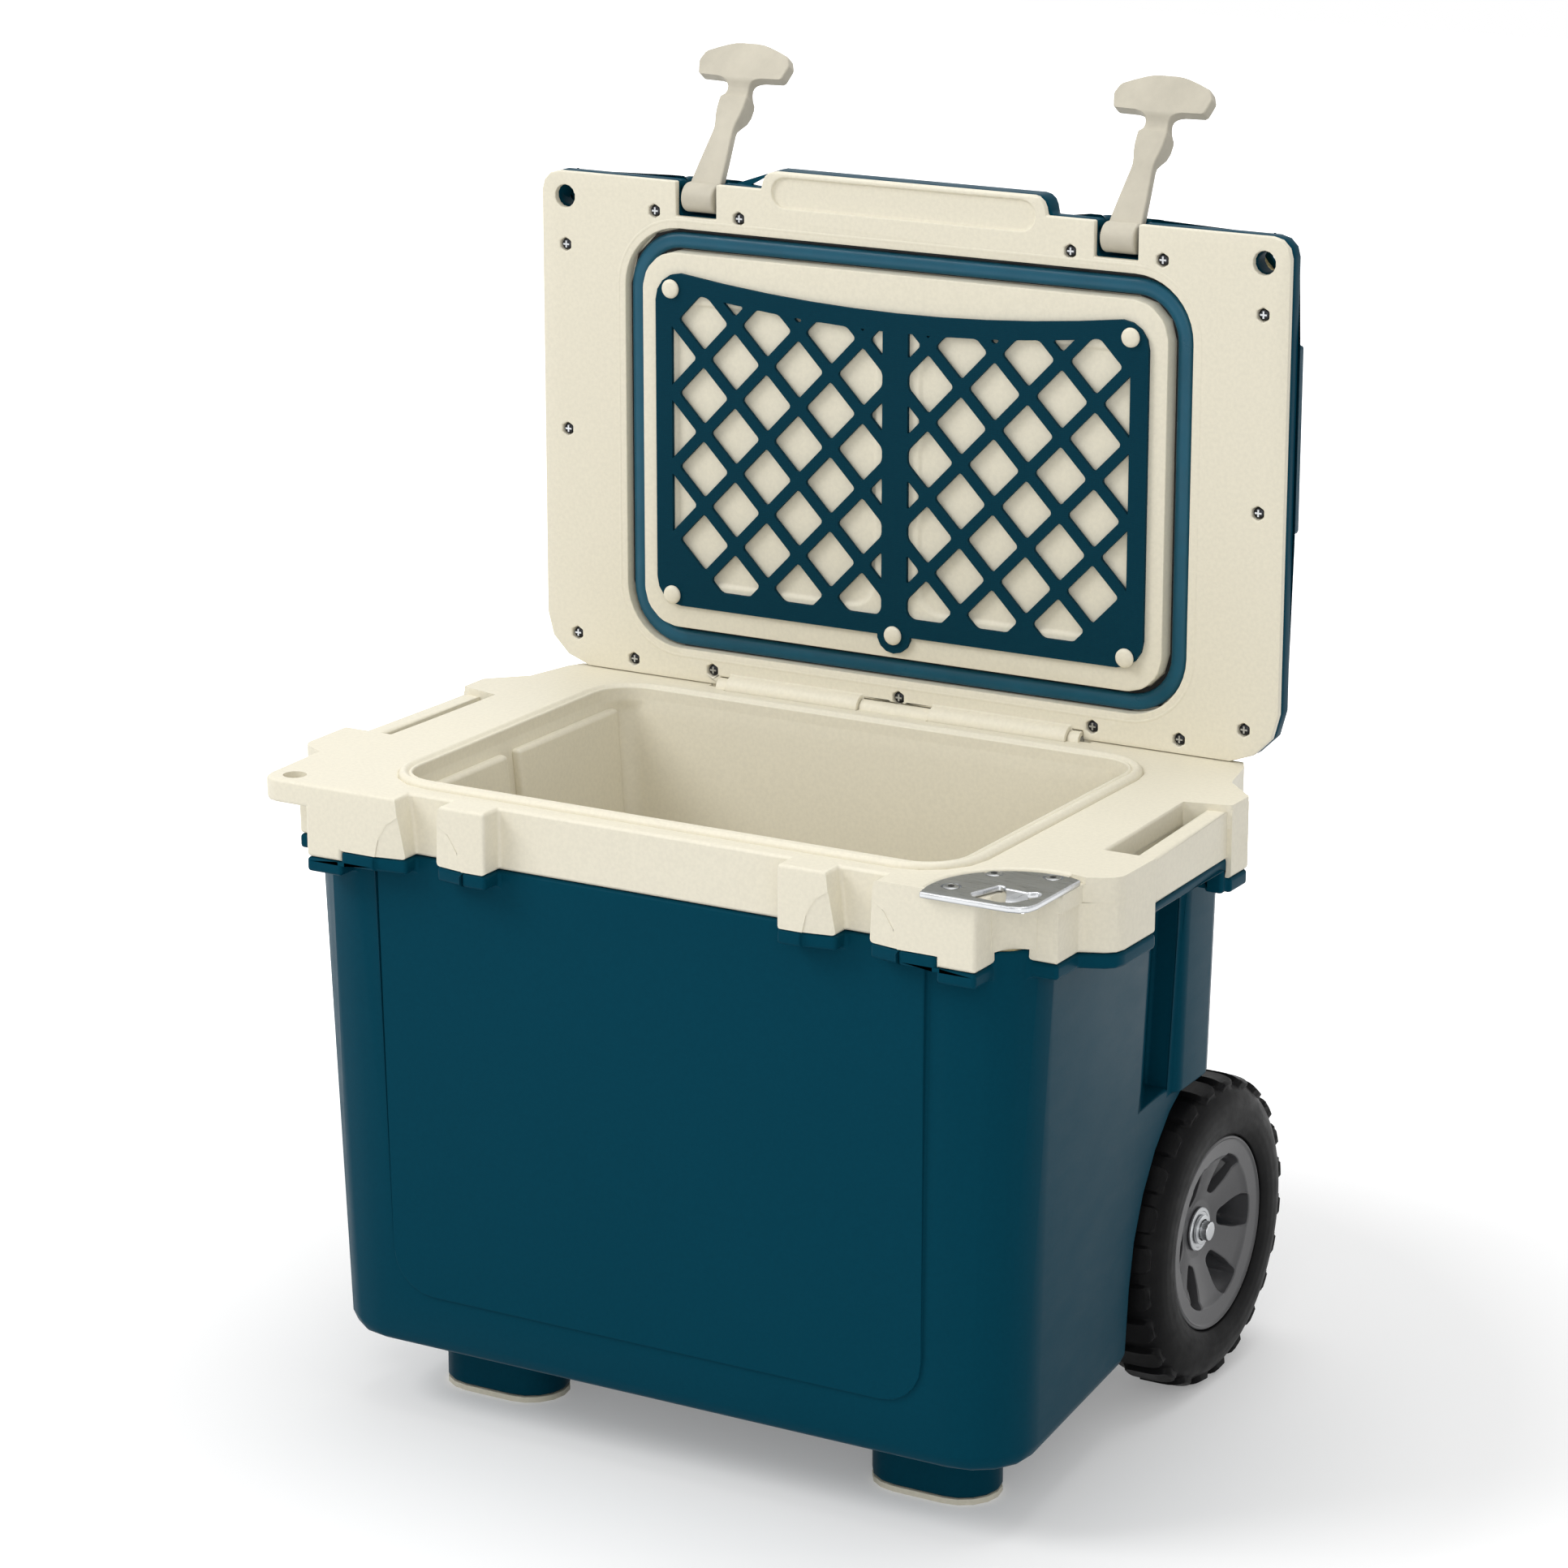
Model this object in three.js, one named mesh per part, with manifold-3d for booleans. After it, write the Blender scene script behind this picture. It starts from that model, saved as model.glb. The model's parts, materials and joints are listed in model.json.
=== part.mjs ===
// A wheeled, insulated cooler with its lid standing open.
// Millimetres, +Z up. Every shape is written about the lid's hinge line: x runs to the right,
// y runs back from the hinge line, z is the height above the ground.
// The whole assembly then moves so that the origin is under the middle of its bounding box.
import * as THREE from 'three';
import { mergeVertices } from 'three/addons/utils/BufferGeometryUtils.js';
import Module from 'manifold-3d';

const wasm = await Module();
wasm.setup();

// Clearances
const seatGap = 0.3; // between pieces that touch
const overrun = 3; // how far a cut runs past the face it opens
const tolerance = 0.001; // points closer than this are one point

// Tub: the outer shell
const rimHeight = 388; // deck of the rim above the ground
const bandHeight = 36.5; // plain rim band
const tubBottom = 42; // underside above the ground
const tubFrontTop = 291;
const tubFrontBottom = 285;
const tubBackTop = 0;
const tubBackBottom = 6;
const tubFrontHalfTop = 240;
const tubFrontHalfBottom = 231;
const tubBackHalfTop = 213;
const tubBackHalfBottom = 199;
const tubFrontCorner = 38;
const tubBackCorner = 20;
const bottomEdge = 12; // rounding under the tub
const shellWall = 4;
const frontPadTopHalf = 180;
const frontPadBottomHalf = 176;
const frontPadBottom = 80;
const frontPadCorner = 26;
const frontPadRise = 1.6;

// Rear columns above the wheels, with a groove in front of each
const columnFront = 56;
const columnHalfTop = 222;
const columnHalfBottom = 218;
const columnCorner = 8;
const columnLean = 2; // the column's outer side draws in by this towards the back
const grooveFront = 92; // where the slanted side of the groove meets the tub's side
const grooveFloor = 3; // width of the groove's floor
const grooveDepth = 14;

// Wheels, wells and axle
const tyreRadius = 95;
const lugHeight = 3.6;
const lugCount = 24;
const lugGap = 8;
const lugReach = 29; // along the tread, from the outer face
const tyreOuter = 222;
const tyreInner = 172;
const beadRadius = 59.5;
const wheelBack = 4; // axle behind the hinge line
const wellRadius = 105;
const wellInner = 168;
const axleRadius = 6;
const axleEnd = 214;
const hubRadius = 17;
const hubFace = 205;
const dishRing = 9; // flat ring of the wheel's face
const windowCount = 6;
const wheelSegments = 24;
const wheelWeb = 5;
const wheelWindowShares = [0.5, 0.625]; // of a window's sixth of the circle, near the hub and near the rim
const beadShares = [0.12, 0.93]; // the bead's edges, across the tyre's width
const treadShares = [0.04, 0.16, 0.8, 0.95]; // the shoulders and the tread, across the tyre's width
const sideShares = [0.3, 0.45]; // height of the widest point of each side, from the bead to the tread
const shoulderShare = 1.4; // of a lug's height that the outer shoulder drops
const housingReach = 24; // half height of the axle housing behind the tub
const housingBack = 20;
const hangerOffset = 60;
const hangerWidth = 8;
const washerRadius = 13.5;
const washerThickness = 2;
const clipRadius = 9;
const clipThickness = 1.6;

// Feet
const footOffset = 146.5;
const footWidth = 79;
const footDepth = 47;
const footCorner = 23.5;
const footFront = 236;
const padThickness = 3.6;

// Rim: plan sizes from the middle and from the hinge line
const deckThickness = 14; // lip over the corner pockets
const deckSkin = 4;
const deckFront = 307;
const bandFront = 292;
const deckBack = 5;
const cornerSide = 250;
const cornerCut = 12;
const smallCorner = 2;
const waistBack = 246;
const shoulderStep = 18; // how far the shoulder reaches past the corner
const shoulderBack = 192;
const slotInnerFront = 237;
const slotInnerBack = 232.5;
const slotBack = 87;
const barWidth = 11.5;
const barFrontOuter = 262.5;
const barBackOuter = 257;
const barDrop = 4;
const barHeight = 27;
const heelSide = 260;
const heelFront = 80;
const heelBack = 58;
const valleySide = 239;
const valleyFront = 37;
const backShoulder = 232;
const backCornerSide = 227;
const blockDrop = 6.5; // corner blocks hang this far below the band
const pocketSide = 217.5;
const pocketMiddle = 227;
const pocketFloorFront = 283;
const pocketBack = 271;
const pocketInset = 1.8; // the pocket's wall stands back from the deck's side
const stepSide = 193.5;
const flangeHeight = 9;
const stripThickness = 5;

// Latch keepers on the front band
const latchOffset = 140.5;
const keeperOuter = 94.8;
const keeperTopHalf = 14.8;
const keeperFootHalf = 10.5;
const scoopWidth = 19;
const scoopHeight = 27;
const scoopDepth = 4.5;
const scoopWidthShares = [1, 0.86, 0.55, 0.05];
const scoopHeightShares = [0, 0.4, 0.75, 1];
const scoopFadeShare = 0.8; // of its depth that a scoop has lost at its top

// Cavity
const linerWall = 4;
const cavityHalfTop = 179.5;
const cavityHalfLedge = 172;
const cavityHalfBottom = 148;
const cavityFrontTop = 269.5;
const cavityBackTop = 31.5;
const cavityBackLedge = 43;
const cavityFrontLedge = 268;
const cavityFrontBottom = 259;
const cavityBackBottom = 50;
const cavityFloor = 84;
const cavityCorner = 24;
const ledgeDrop = 7;
const lipWidth = 9.5;
const lipHeight = 3;
const lipSeat = 1.6; // the lip sits this deep in the rim's deck
const dividerForward = 158;
const dividerWidth = 9;
const dividerDepth = 3;
const dividerStart = 3; // above the cavity's floor
const holeRadius = 7; // padlock hole

// Bottle opener
const plateThickness = 3.5;
const plateRadius = 50.8;
const plateCentreInset = 15; // from the rim's corner to the middle of the plate's round edge
const plateFrontReach = 6; // in front of the deck
const plateSideReach = 1; // past the side of the rim's corner
const plateSteps = 10;
const windowShares = [
  [-0.43, -0.07],
  [-0.04, -0.17],
  [0.16, 0.28],
  [-0.31, 0.34],
];
const openerScrewShares = [
  [-0.76, 0.04],
  [-0.59, -0.6],
  [0.02, -0.78],
];
const windowCorner = 3;
const tongueInset = 3; // the tongue stands in by this from the window's ends
const plateScrewRadius = 4.6;
const plateScrewLength = 14;

// Drain
const drainForward = 190;
const drainBore = 8;
const drainWall = 3;
const drainFlange = 5;
const capRadius = 18;
const capDepth = 14;
const capWall = 3;
const capWingShare = 0.75; // of the cap's radius

// Lid
const lidHalf = 250;
const lidReach = 309;
const lidStart = 2;
const lidHeight = 44;
const frameThickness = 5;
const lidFrontCorner = 12;
const lidBackCorner = 30;
const lidEdge = 15; // upright edge before the dome starts
const domeSlopeHeight = 37;
const domeSlopeInset = 24;
const domeTopInset = 37;
const lidWall = 3.5;
const lidRail = 24; // solid rail that the screws bite
const lidBackRail = 14;
const railHeight = 9;
const sidePadHeight = 24;
const sidePadStart = 135;
const sidePadEnd = 245;
const sidePadWidth = 24;
const tabHalf = 97;
const tabReach = 11;
const tabCorner = 8;
const scoopHalf = 88;
const scoopReach = 18;
const scoopInset = 3; // from the tab's edge
const lidHoleOffset = 233.6;
const lidHoleReach = 293.8;

// Plug, gasket and net on the lid's inner face
const plugHalf = 177;
const plugFront = 267;
const plugStart = 34;
const plugCorner = 24;
const plugRise = 3;
const channelWidth = 13.5;
const channelDepth = 8.6;
const channelWall = 1.6;
const carrierThickness = 1.3;
const gasketWidth = 9;
const gasketHeight = 3.3;
const netHalf = 165.5;
const netFront = 254.5;
const netStart = 49;
const netCorner = 17;
const netThickness = 2.5;
const netBorder = 11.3;
const netBand = 17;
const netDip = 10.5; // the net's front edge bows in by this much at its middle
const strand = 6.6;
const meshPitch = 44; // between two diamonds of one row
const meshRise = 45.4; // between two diamonds of one column
const meshStart = 45.2; // the first row on the middle line, from the hinge line
const netPad = 18; // solid corner round a button
const buttonOffset = 154.4;
const buttonFront = 244.9;
const buttonBack = 55.5;
const buttonRadius = 5.8;
const buttonHeight = 2.4;
const buttonStem = 3;
const middleButtonInset = 3;

// Lid screws
const screwRecess = 4.4;
const screwHead = 3.4;
const screwShank = 1.7;
const screwLength = 9;
const screwHeadHeight = 1.9;
const screwSink = 1.8;
const edgeScrews = [
  [169.9, 289.8],
  [110.9, 289.8],
  [233.6, 264.1],
  [233.6, 149.4],
  [228.2, 20.4],
  [130.3, 8.9],
  [187, 8.9],
];
const middleScrewReach = 8.9;

// Hinge
const rodRadius = 2.5;
const knuckleRadius = 5.5;
const stripRadius = 8;
const stripInner = 24;
const stripOuter = 117;
const earWidth = 7;

// Latches
const recessHalf = 14;
const recessDepth = 22;
const recessStart = 288;
const pivotReach = 299;
const pivotLift = 9.3;
const barrelRadius = 9;
const barrelHalf = 11;
const latchPinRadius = 2;
const latchTilt = 35; // degrees, how far the latches lean back in the open lid
const strapThickness = 6;
const strapWaist = 14;
const strapWaistReach = 44;
const bulgeWidth = 18;
const bulgeStart = 49;
const bulgeEnd = 67;
const bulgeThickness = 13;
const neckWidth = 16;
const headWidth = 63;
const headStart = 78;
const headEnd = 102;
const headThickness = 8;
const headEdge = 15;
const latchCorner = 3; // rounding of the latch's outline
const headCorner = 6;

// Pull handle
const handleOffset = 75;
const handleBack = 66;
const guideRadius = 11;
const guideBottom = 60;
const guideDrop = 38; // below the rim's deck
const tubeWall = 1.6;
const barDepthShare = 0.7; // half depth of the loop's bar, of the loop's radius
const barTopShare = 0.4;
const bracketDrop = 48; // below the rim's deck
const bracketBottom = 132;
const bracketArm = 22;
const bracketHalf = 96;
const bracketPlate = 8;
const gripHalf = 94;
const gripDepth = 28;
const gripHeight = 26;
const gripDrop = 4; // below the rim's deck
const buttonLength = 44;
const buttonWidth = 10;
const buttonRise = 3;
const releaseDepth = 7;

// Derived levels and places
const shoulderSide = cornerSide + shoulderStep;
const plateCentreSide = cornerSide - plateCentreInset;
const plateCentreFront = deckFront - plateCentreInset + plateFrontReach / 4;
const plateSide = cornerSide + plateSideReach;
const plateFront = deckFront + plateFrontReach;
const bracketTop = rimHeight - bracketDrop;
const guideTop = rimHeight - guideDrop;
const gripTop = rimHeight - gripDrop;
const lipCorner = plugCorner + channelWidth;
const lidInside = rimHeight;
const bandBottom = rimHeight - bandHeight;
const blockBottom = bandBottom - blockDrop;
const shellTop = bandBottom - seatGap;
const columnBottom = tyreRadius + wellRadius;
const handleRear = handleBack + guideRadius + tubeWall * 2;
const originBack = (plateFront - wheelBack - tyreRadius) / 2;

// Colours
const teal = new THREE.Color(0.06, 0.26, 0.32);
const cream = new THREE.Color(0.9, 0.87, 0.78);
const black = new THREE.Color(0.03, 0.03, 0.03);
const steel = new THREE.Color(0.62, 0.62, 0.62);
const finishes = {
  shell: { color: teal, roughness: 0.45, metalness: 0 },
  liner: { color: cream, roughness: 0.5, metalness: 0 },
  foam: { color: new THREE.Color(0.93, 0.88, 0.7), roughness: 0.9, metalness: 0 },
  rubber: { color: black, roughness: 0.75, metalness: 0 },
  nylon: { color: new THREE.Color(0.14, 0.14, 0.15), roughness: 0.45, metalness: 0 },
  steel: { color: steel, roughness: 0.3, metalness: 1 },
  darkSteel: { color: new THREE.Color(0.08, 0.08, 0.09), roughness: 0.4, metalness: 1 },
  net: { color: new THREE.Color(0.07, 0.25, 0.31), roughness: 0.7, metalness: 0 },
};

// Geometry helpers

function oriented(geometry) {
  const index = geometry.index.array;
  const position = geometry.attributes.position.array;
  let volume = 0;
  for (let i = 0; i < index.length; i += 3) {
    const [a, b, c] = [0, 1, 2].map((k) => new THREE.Vector3().fromArray(position, index[i + k] * 3));
    volume += a.dot(b.cross(c));
  }
  if (volume < 0) {
    for (let i = 0; i < index.length; i += 3) {
      [index[i], index[i + 1]] = [index[i + 1], index[i]];
    }
  }
  return geometry;
}

function solid(geometry) {
  const bare = geometry.clone();
  for (const name of Object.keys(bare.attributes)) {
    if (name !== 'position') bare.deleteAttribute(name);
  }
  const merged = oriented(mergeVertices(bare));
  const mesh = new wasm.Mesh({
    numProp: 3,
    vertProperties: new Float32Array(merged.attributes.position.array),
    triVerts: new Uint32Array(merged.index.array),
  });
  return new wasm.Manifold(mesh);
}

function geometryOf(shape) {
  const mesh = shape.getMesh();
  const geometry = new THREE.BufferGeometry();
  geometry.setAttribute('position', new THREE.BufferAttribute(new Float32Array(mesh.vertProperties), 3));
  geometry.setIndex(new THREE.BufferAttribute(new Uint32Array(mesh.triVerts), 1));
  geometry.computeVertexNormals();
  return geometry;
}

const joined = (...shapes) => shapes.reduce((whole, shape) => whole.add(shape));
const cut = (whole, ...tools) => tools.reduce((rest, tool) => rest.subtract(tool), whole);

// Corners are [x, y, radius]; each radius is limited by the sides that it joins.
function filleted(corners, steps) {
  const points = [];
  corners.forEach(([x, y, radius = 0], i) => {
    const corner = new THREE.Vector2(x, y);
    const before = corners[(i + corners.length - 1) % corners.length];
    const after = corners[(i + 1) % corners.length];
    const toBefore = new THREE.Vector2(before[0], before[1]).sub(corner);
    const toAfter = new THREE.Vector2(after[0], after[1]).sub(corner);
    const half = Math.abs(toBefore.angleTo(toAfter)) / 2;
    const room = Math.min(toBefore.length(), toAfter.length()) / 2;
    const setback = Math.min(radius / Math.tan(half), room);
    if (setback <= 0) {
      points.push(corner);
      return;
    }
    const start = corner.clone().addScaledVector(toBefore.normalize(), setback);
    const end = corner.clone().addScaledVector(toAfter.normalize(), setback);
    const reach = setback * Math.tan(half);
    const inward = toBefore.clone().add(toAfter).normalize();
    const centre = corner.clone().addScaledVector(inward, reach / Math.sin(half));
    const from = Math.atan2(start.y - centre.y, start.x - centre.x);
    let turn = Math.atan2(end.y - centre.y, end.x - centre.x) - from;
    turn -= Math.round(turn / (2 * Math.PI)) * 2 * Math.PI;
    for (let k = 0; k <= steps; k += 1) {
      const angle = from + (turn * k) / steps;
      points.push(new THREE.Vector2(centre.x + reach * Math.cos(angle), centre.y + reach * Math.sin(angle)));
    }
  });
  return points;
}

const rectangle = (x0, x1, y0, y1, radius = 0) => [
  [x0, y0, radius],
  [x1, y0, radius],
  [x1, y1, radius],
  [x0, y1, radius],
];

function slab(points, bottom, top) {
  const apart = points.filter((point, i) => point.distanceTo(points.at(i - 1)) > tolerance);
  const corners = apart.filter((point, i) => {
    const along = point.clone().sub(apart.at(i - 1));
    const onward = apart[(i + 1) % apart.length].clone().sub(point);
    return Math.abs(along.cross(onward)) > tolerance * along.length();
  });
  const shape = new THREE.Shape(corners);
  const geometry = new THREE.ExtrudeGeometry(shape, { depth: top - bottom, bevelEnabled: false });
  return solid(geometry.translate(0, 0, bottom));
}

function block(x0, x1, y0, y1, z0, z1) {
  const geometry = new THREE.BoxGeometry(x1 - x0, y1 - y0, z1 - z0);
  return solid(geometry.translate((x0 + x1) / 2, (y0 + y1) / 2, (z0 + z1) / 2));
}

// Joins convex outlines of equal point count, one at each level.
function loft(sections) {
  const count = sections[0].points.length;
  const position = [];
  for (const { z, points } of sections) {
    for (const point of points) position.push(point.x, point.y, z);
  }
  for (const { z, points } of [sections[0], sections.at(-1)]) {
    const middle = points.reduce((sum, point) => sum.add(point), new THREE.Vector2()).divideScalar(count);
    position.push(middle.x, middle.y, z);
  }
  const index = [];
  for (let level = 0; level + 1 < sections.length; level += 1) {
    for (let i = 0; i < count; i += 1) {
      const a = level * count + i;
      const b = level * count + ((i + 1) % count);
      index.push(a, b, b + count, a, b + count, a + count);
    }
  }
  const last = (sections.length - 1) * count;
  const lowMiddle = sections.length * count;
  for (let i = 0; i < count; i += 1) {
    const next = (i + 1) % count;
    index.push(lowMiddle, next, i, lowMiddle + 1, last + i, last + next);
  }
  const geometry = new THREE.BufferGeometry();
  geometry.setAttribute('position', new THREE.Float32BufferAttribute(position, 3));
  geometry.setIndex(index);
  return solid(geometry);
}

function rod(radius, from, to, sides) {
  const along = to.clone().sub(from);
  const geometry = new THREE.CylinderGeometry(radius, radius, along.length(), sides);
  const upright = new THREE.Vector3(0, 1, 0);
  geometry.applyQuaternion(new THREE.Quaternion().setFromUnitVectors(upright, along.clone().normalize()));
  return solid(geometry.translate(...from.clone().add(to).multiplyScalar(1 / 2).toArray()));
}

const at = (x, y, z) => new THREE.Vector3(x, y, z);
const rodX = (radius, x0, x1, y, z, sides) => rod(radius, at(x0, y, z), at(x1, y, z), sides);
const rodZ = (radius, x, y, z0, z1, sides) => rod(radius, at(x, y, z0), at(x, y, z1), sides);
const sided = (corners, side) => corners.map(([x, y, radius]) => [x * side, y, radius]);
const bothSides = (make) => joined(make(1), make(-1));

const materialOf = (finish) => new THREE.MeshStandardMaterial(finishes[finish]);

function piece(parent, name, shape, finish) {
  const mesh = new THREE.Mesh(geometryOf(shape), materialOf(finish));
  mesh.name = name;
  parent.add(mesh);
  return mesh;
}

// Tub forms, shared by the shell, the rim that sits on it and the foam inside it

function tubOutline(z, inset) {
  const share = (z - tubBottom) / (shellTop - tubBottom);
  const mix = (low, high) => low + (high - low) * share;
  const front = -mix(tubFrontBottom, tubFrontTop) + inset;
  const back = -mix(tubBackBottom, tubBackTop) - inset;
  const frontHalf = mix(tubFrontHalfBottom, tubFrontHalfTop) - inset;
  const backHalf = mix(tubBackHalfBottom, tubBackHalfTop) - inset;
  const corners = [
    [-frontHalf, front, tubFrontCorner - inset],
    [frontHalf, front, tubFrontCorner - inset],
    [backHalf, back, tubBackCorner - inset],
    [-backHalf, back, tubBackCorner - inset],
  ];
  return filleted(corners, 4);
}

function tubForm(inset, bottom, top) {
  const edgeShares = [
    [0, 1],
    [0.3, 0.29],
    [1, 0],
  ];
  const sections = edgeShares.map(([rise, draw]) => {
    const z = bottom + rise * bottomEdge;
    return { z, points: tubOutline(z, inset + draw * bottomEdge) };
  });
  sections.push({ z: top, points: tubOutline(top, inset) });
  return loft(sections);
}

function columnForm(side, grow, top) {
  const section = (half, z) => {
    const outer = half + grow;
    const front = -columnFront - grow;
    const back = -tubBackTop + grow - columnLean;
    const inner = half - columnFront / 2;
    const corners = [
      [inner, front, 0],
      [outer, front, columnCorner],
      [outer - columnLean, back, tubBackCorner],
      [inner, back, 0],
    ];
    return { z, points: filleted(sided(corners, side), 3) };
  };
  return loft([section(columnHalfBottom, columnBottom - grow), section(columnHalfTop, top)]);
}

function wellForm(side, grow) {
  const inner = wellInner - grow;
  const outer = shoulderSide + overrun;
  const radius = wellRadius + grow;
  const ends = [side * inner, side * outer].sort((a, b) => a - b);
  const arch = rodX(radius, ends[0], ends[1], wheelBack, tyreRadius, 24);
  const low = block(ends[0], ends[1], wheelBack - radius, wheelBack, -overrun, tyreRadius);
  return joined(arch, low);
}

function grooveForm(side, grow) {
  const outer = columnHalfTop + grooveDepth;
  const back = -columnFront;
  const base = tubBackHalfTop + ((tubFrontHalfTop - tubBackHalfTop) * columnFront) / tubFrontTop;
  const lean = (tubBackHalfTop - tubBackHalfBottom) / (shellTop - tubBottom);
  const slope = (grooveFront - columnFront - grooveFloor) / grooveDepth;
  const section = (z) => {
    const floor = base - grooveDepth - grow - lean * (shellTop - z);
    const start = back - grooveFloor - grow;
    const corners = [
      [floor, start, 0],
      [outer, start - (outer - floor) * slope, 0],
      [outer, back + grow, 0],
      [floor, back + grow, 0],
    ];
    return { z, points: filleted(sided(corners, side), 1) };
  };
  return loft([section(columnBottom + columnCorner / 2 - grow), section(shellTop + overrun)]);
}

// Cavity forms, shared by the liner and the foam

const cavityOutline = (half, front, back, grow) =>
  filleted(rectangle(-half - grow, half + grow, -front - grow, -back + grow, cavityCorner + grow), 4);

function cavityForm(grow, floor, top) {
  const ledge = rimHeight - ledgeDrop;
  const step = ledgeDrop / 4;
  const levels = [
    [floor, cavityHalfBottom, cavityFrontBottom, cavityBackBottom],
    [ledge - step, cavityHalfLedge, cavityFrontLedge, cavityBackLedge],
    [ledge, cavityHalfTop - step, cavityFrontTop, cavityBackTop],
    [top, cavityHalfTop, cavityFrontTop, cavityBackTop],
  ];
  const sections = levels.map(([z, ...place]) => ({ z, points: cavityOutline(...place, grow) }));
  return loft(sections);
}

// Rim outlines in plan, as right-hand corners that each side uses

const keeperCorners = (side) => {
  const inner = latchOffset - keeperTopHalf;
  const outer = latchOffset + keeperTopHalf;
  return sided(
    [
      [keeperOuter, -bandFront, 0],
      [keeperOuter, -deckFront, 0],
      [inner, -deckFront, 0],
      [inner, -bandFront, 0],
      [outer, -bandFront, 0],
      [outer, -deckFront, 0],
    ],
    side,
  );
};

const deckSideCorners = (side) =>
  sided(
    [
      [cornerSide, -deckFront, cornerCut],
      [cornerSide, -waistBack, 0],
      [shoulderSide, -waistBack + (shoulderSide - cornerSide) / 2, cornerCut],
      [shoulderSide, -shoulderBack, 0],
      [slotInnerFront, -shoulderBack, 0],
      [slotInnerBack, -slotBack, 0],
      [heelSide, -heelFront, smallCorner],
      [heelSide, -heelBack, smallCorner],
      [valleySide, -valleyFront, 0],
      [backShoulder, -deckBack, smallCorner],
      [backCornerSide, deckBack, smallCorner],
    ],
    side,
  );

function deckOutline() {
  const right = [...keeperCorners(1), ...deckSideCorners(1)];
  const left = [...keeperCorners(-1), ...deckSideCorners(-1)].reverse();
  return filleted([...right, ...left], 3);
}

const shoulderCorners = (side, rear) =>
  sided(
    [
      [stepSide, -deckFront, 0],
      [pocketSide, -deckFront, 0],
      [pocketSide, -pocketFloorFront, 0],
      [pocketMiddle, -pocketBack, 0],
      [cornerSide - pocketInset, -pocketBack, 0],
      [cornerSide - pocketInset, -waistBack, 0],
      [shoulderSide, -waistBack + (shoulderSide - cornerSide) / 2, cornerCut],
      [shoulderSide, rear, 0],
      [stepSide, rear, 0],
    ],
    side,
  );

const heelCorners = (side, front) =>
  sided(
    [
      [stepSide, front, 0],
      [heelSide, front, 0],
      [heelSide, -heelBack, 0],
      [valleySide, -valleyFront, 0],
      [backShoulder, -deckBack, 0],
      [backCornerSide, deckBack, 0],
      [stepSide, deckBack, 0],
    ],
    side,
  );

const barCorners = (side, reach) =>
  sided(
    [
      [barFrontOuter - barWidth, -shoulderBack - reach, 0],
      [barFrontOuter, -shoulderBack - reach, 0],
      [barBackOuter, -heelFront + reach, 0],
      [barBackOuter - barWidth, -heelFront + reach, 0],
    ],
    side,
  );

function keeperForm(side, which, bottom, top) {
  const level = (half, z) => {
    const near = latchOffset + which * half;
    const far = which < 0 ? keeperOuter : stepSide;
    const corners = [
      [Math.min(near, far), -deckFront, 0],
      [Math.max(near, far), -deckFront, 0],
      [Math.max(near, far), -bandFront + shellWall, 0],
      [Math.min(near, far), -bandFront + shellWall, 0],
    ];
    return { z, points: filleted(sided(corners, side), 1) };
  };
  return loft([level(keeperFootHalf, bottom), level(top > bandBottom ? keeperTopHalf : keeperFootHalf, top)]);
}

function scoopForm(side, which) {
  const level = (width, depth, z) => {
    const start = latchOffset + which * (keeperFootHalf - overrun);
    const end = latchOffset + which * (keeperFootHalf + width);
    const front = -deckFront - overrun;
    const corners = [
      [start, front, 0],
      [end, front, 0],
      [end, -deckFront + depth / 8, 0],
      [start, -deckFront + depth, 0],
    ];
    return { z, points: filleted(sided(corners, side), 1) };
  };
  const low = bandBottom - flangeHeight - overrun;
  const sections = [level(scoopWidth, scoopDepth, low)];
  scoopHeightShares.forEach((share, i) => {
    const z = bandBottom + share * scoopHeight;
    sections.push(level(scoopWidth * scoopWidthShares[i], scoopDepth * (1 - share * scoopFadeShare), z));
  });
  return loft(sections);
}

const cooler = new THREE.Group();
cooler.position.set(0, originBack, 0);

// Outer shell

function flanges(side) {
  const top = blockBottom - seatGap;
  const bottom = blockBottom - flangeHeight;
  const keeperBottom = bandBottom - flangeHeight;
  const shoulder = slab(filleted(shoulderCorners(side, -shoulderBack), 2), bottom, top);
  const heel = slab(filleted(heelCorners(side, -heelFront), 1), bottom, top);
  const stripTop = rimHeight - barDrop - barHeight - seatGap;
  const stripBottom = stripTop - stripThickness;
  const legs = [-shoulderBack, -heelFront - stripThickness].map((y) => {
    const ends = [side * (barBackOuter - barWidth), side * barBackOuter].sort((a, b) => a - b);
    return block(ends[0], ends[1], y, y + stripThickness, bottom, stripTop);
  });
  const strip = slab(filleted(barCorners(side, -seatGap), 1), stripBottom, stripTop);
  const ears = [-1, 1].map((which) => keeperForm(side, which, keeperBottom, bandBottom - seatGap));
  return joined(shoulder, heel, strip, ...legs, ...ears);
}

const slotCorners = [
  [slotInnerFront, -shoulderBack, 0],
  [barFrontOuter - barWidth, -shoulderBack, 0],
  [barBackOuter - barWidth, -slotBack, 0],
  [slotInnerBack, -slotBack, 0],
];

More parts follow.
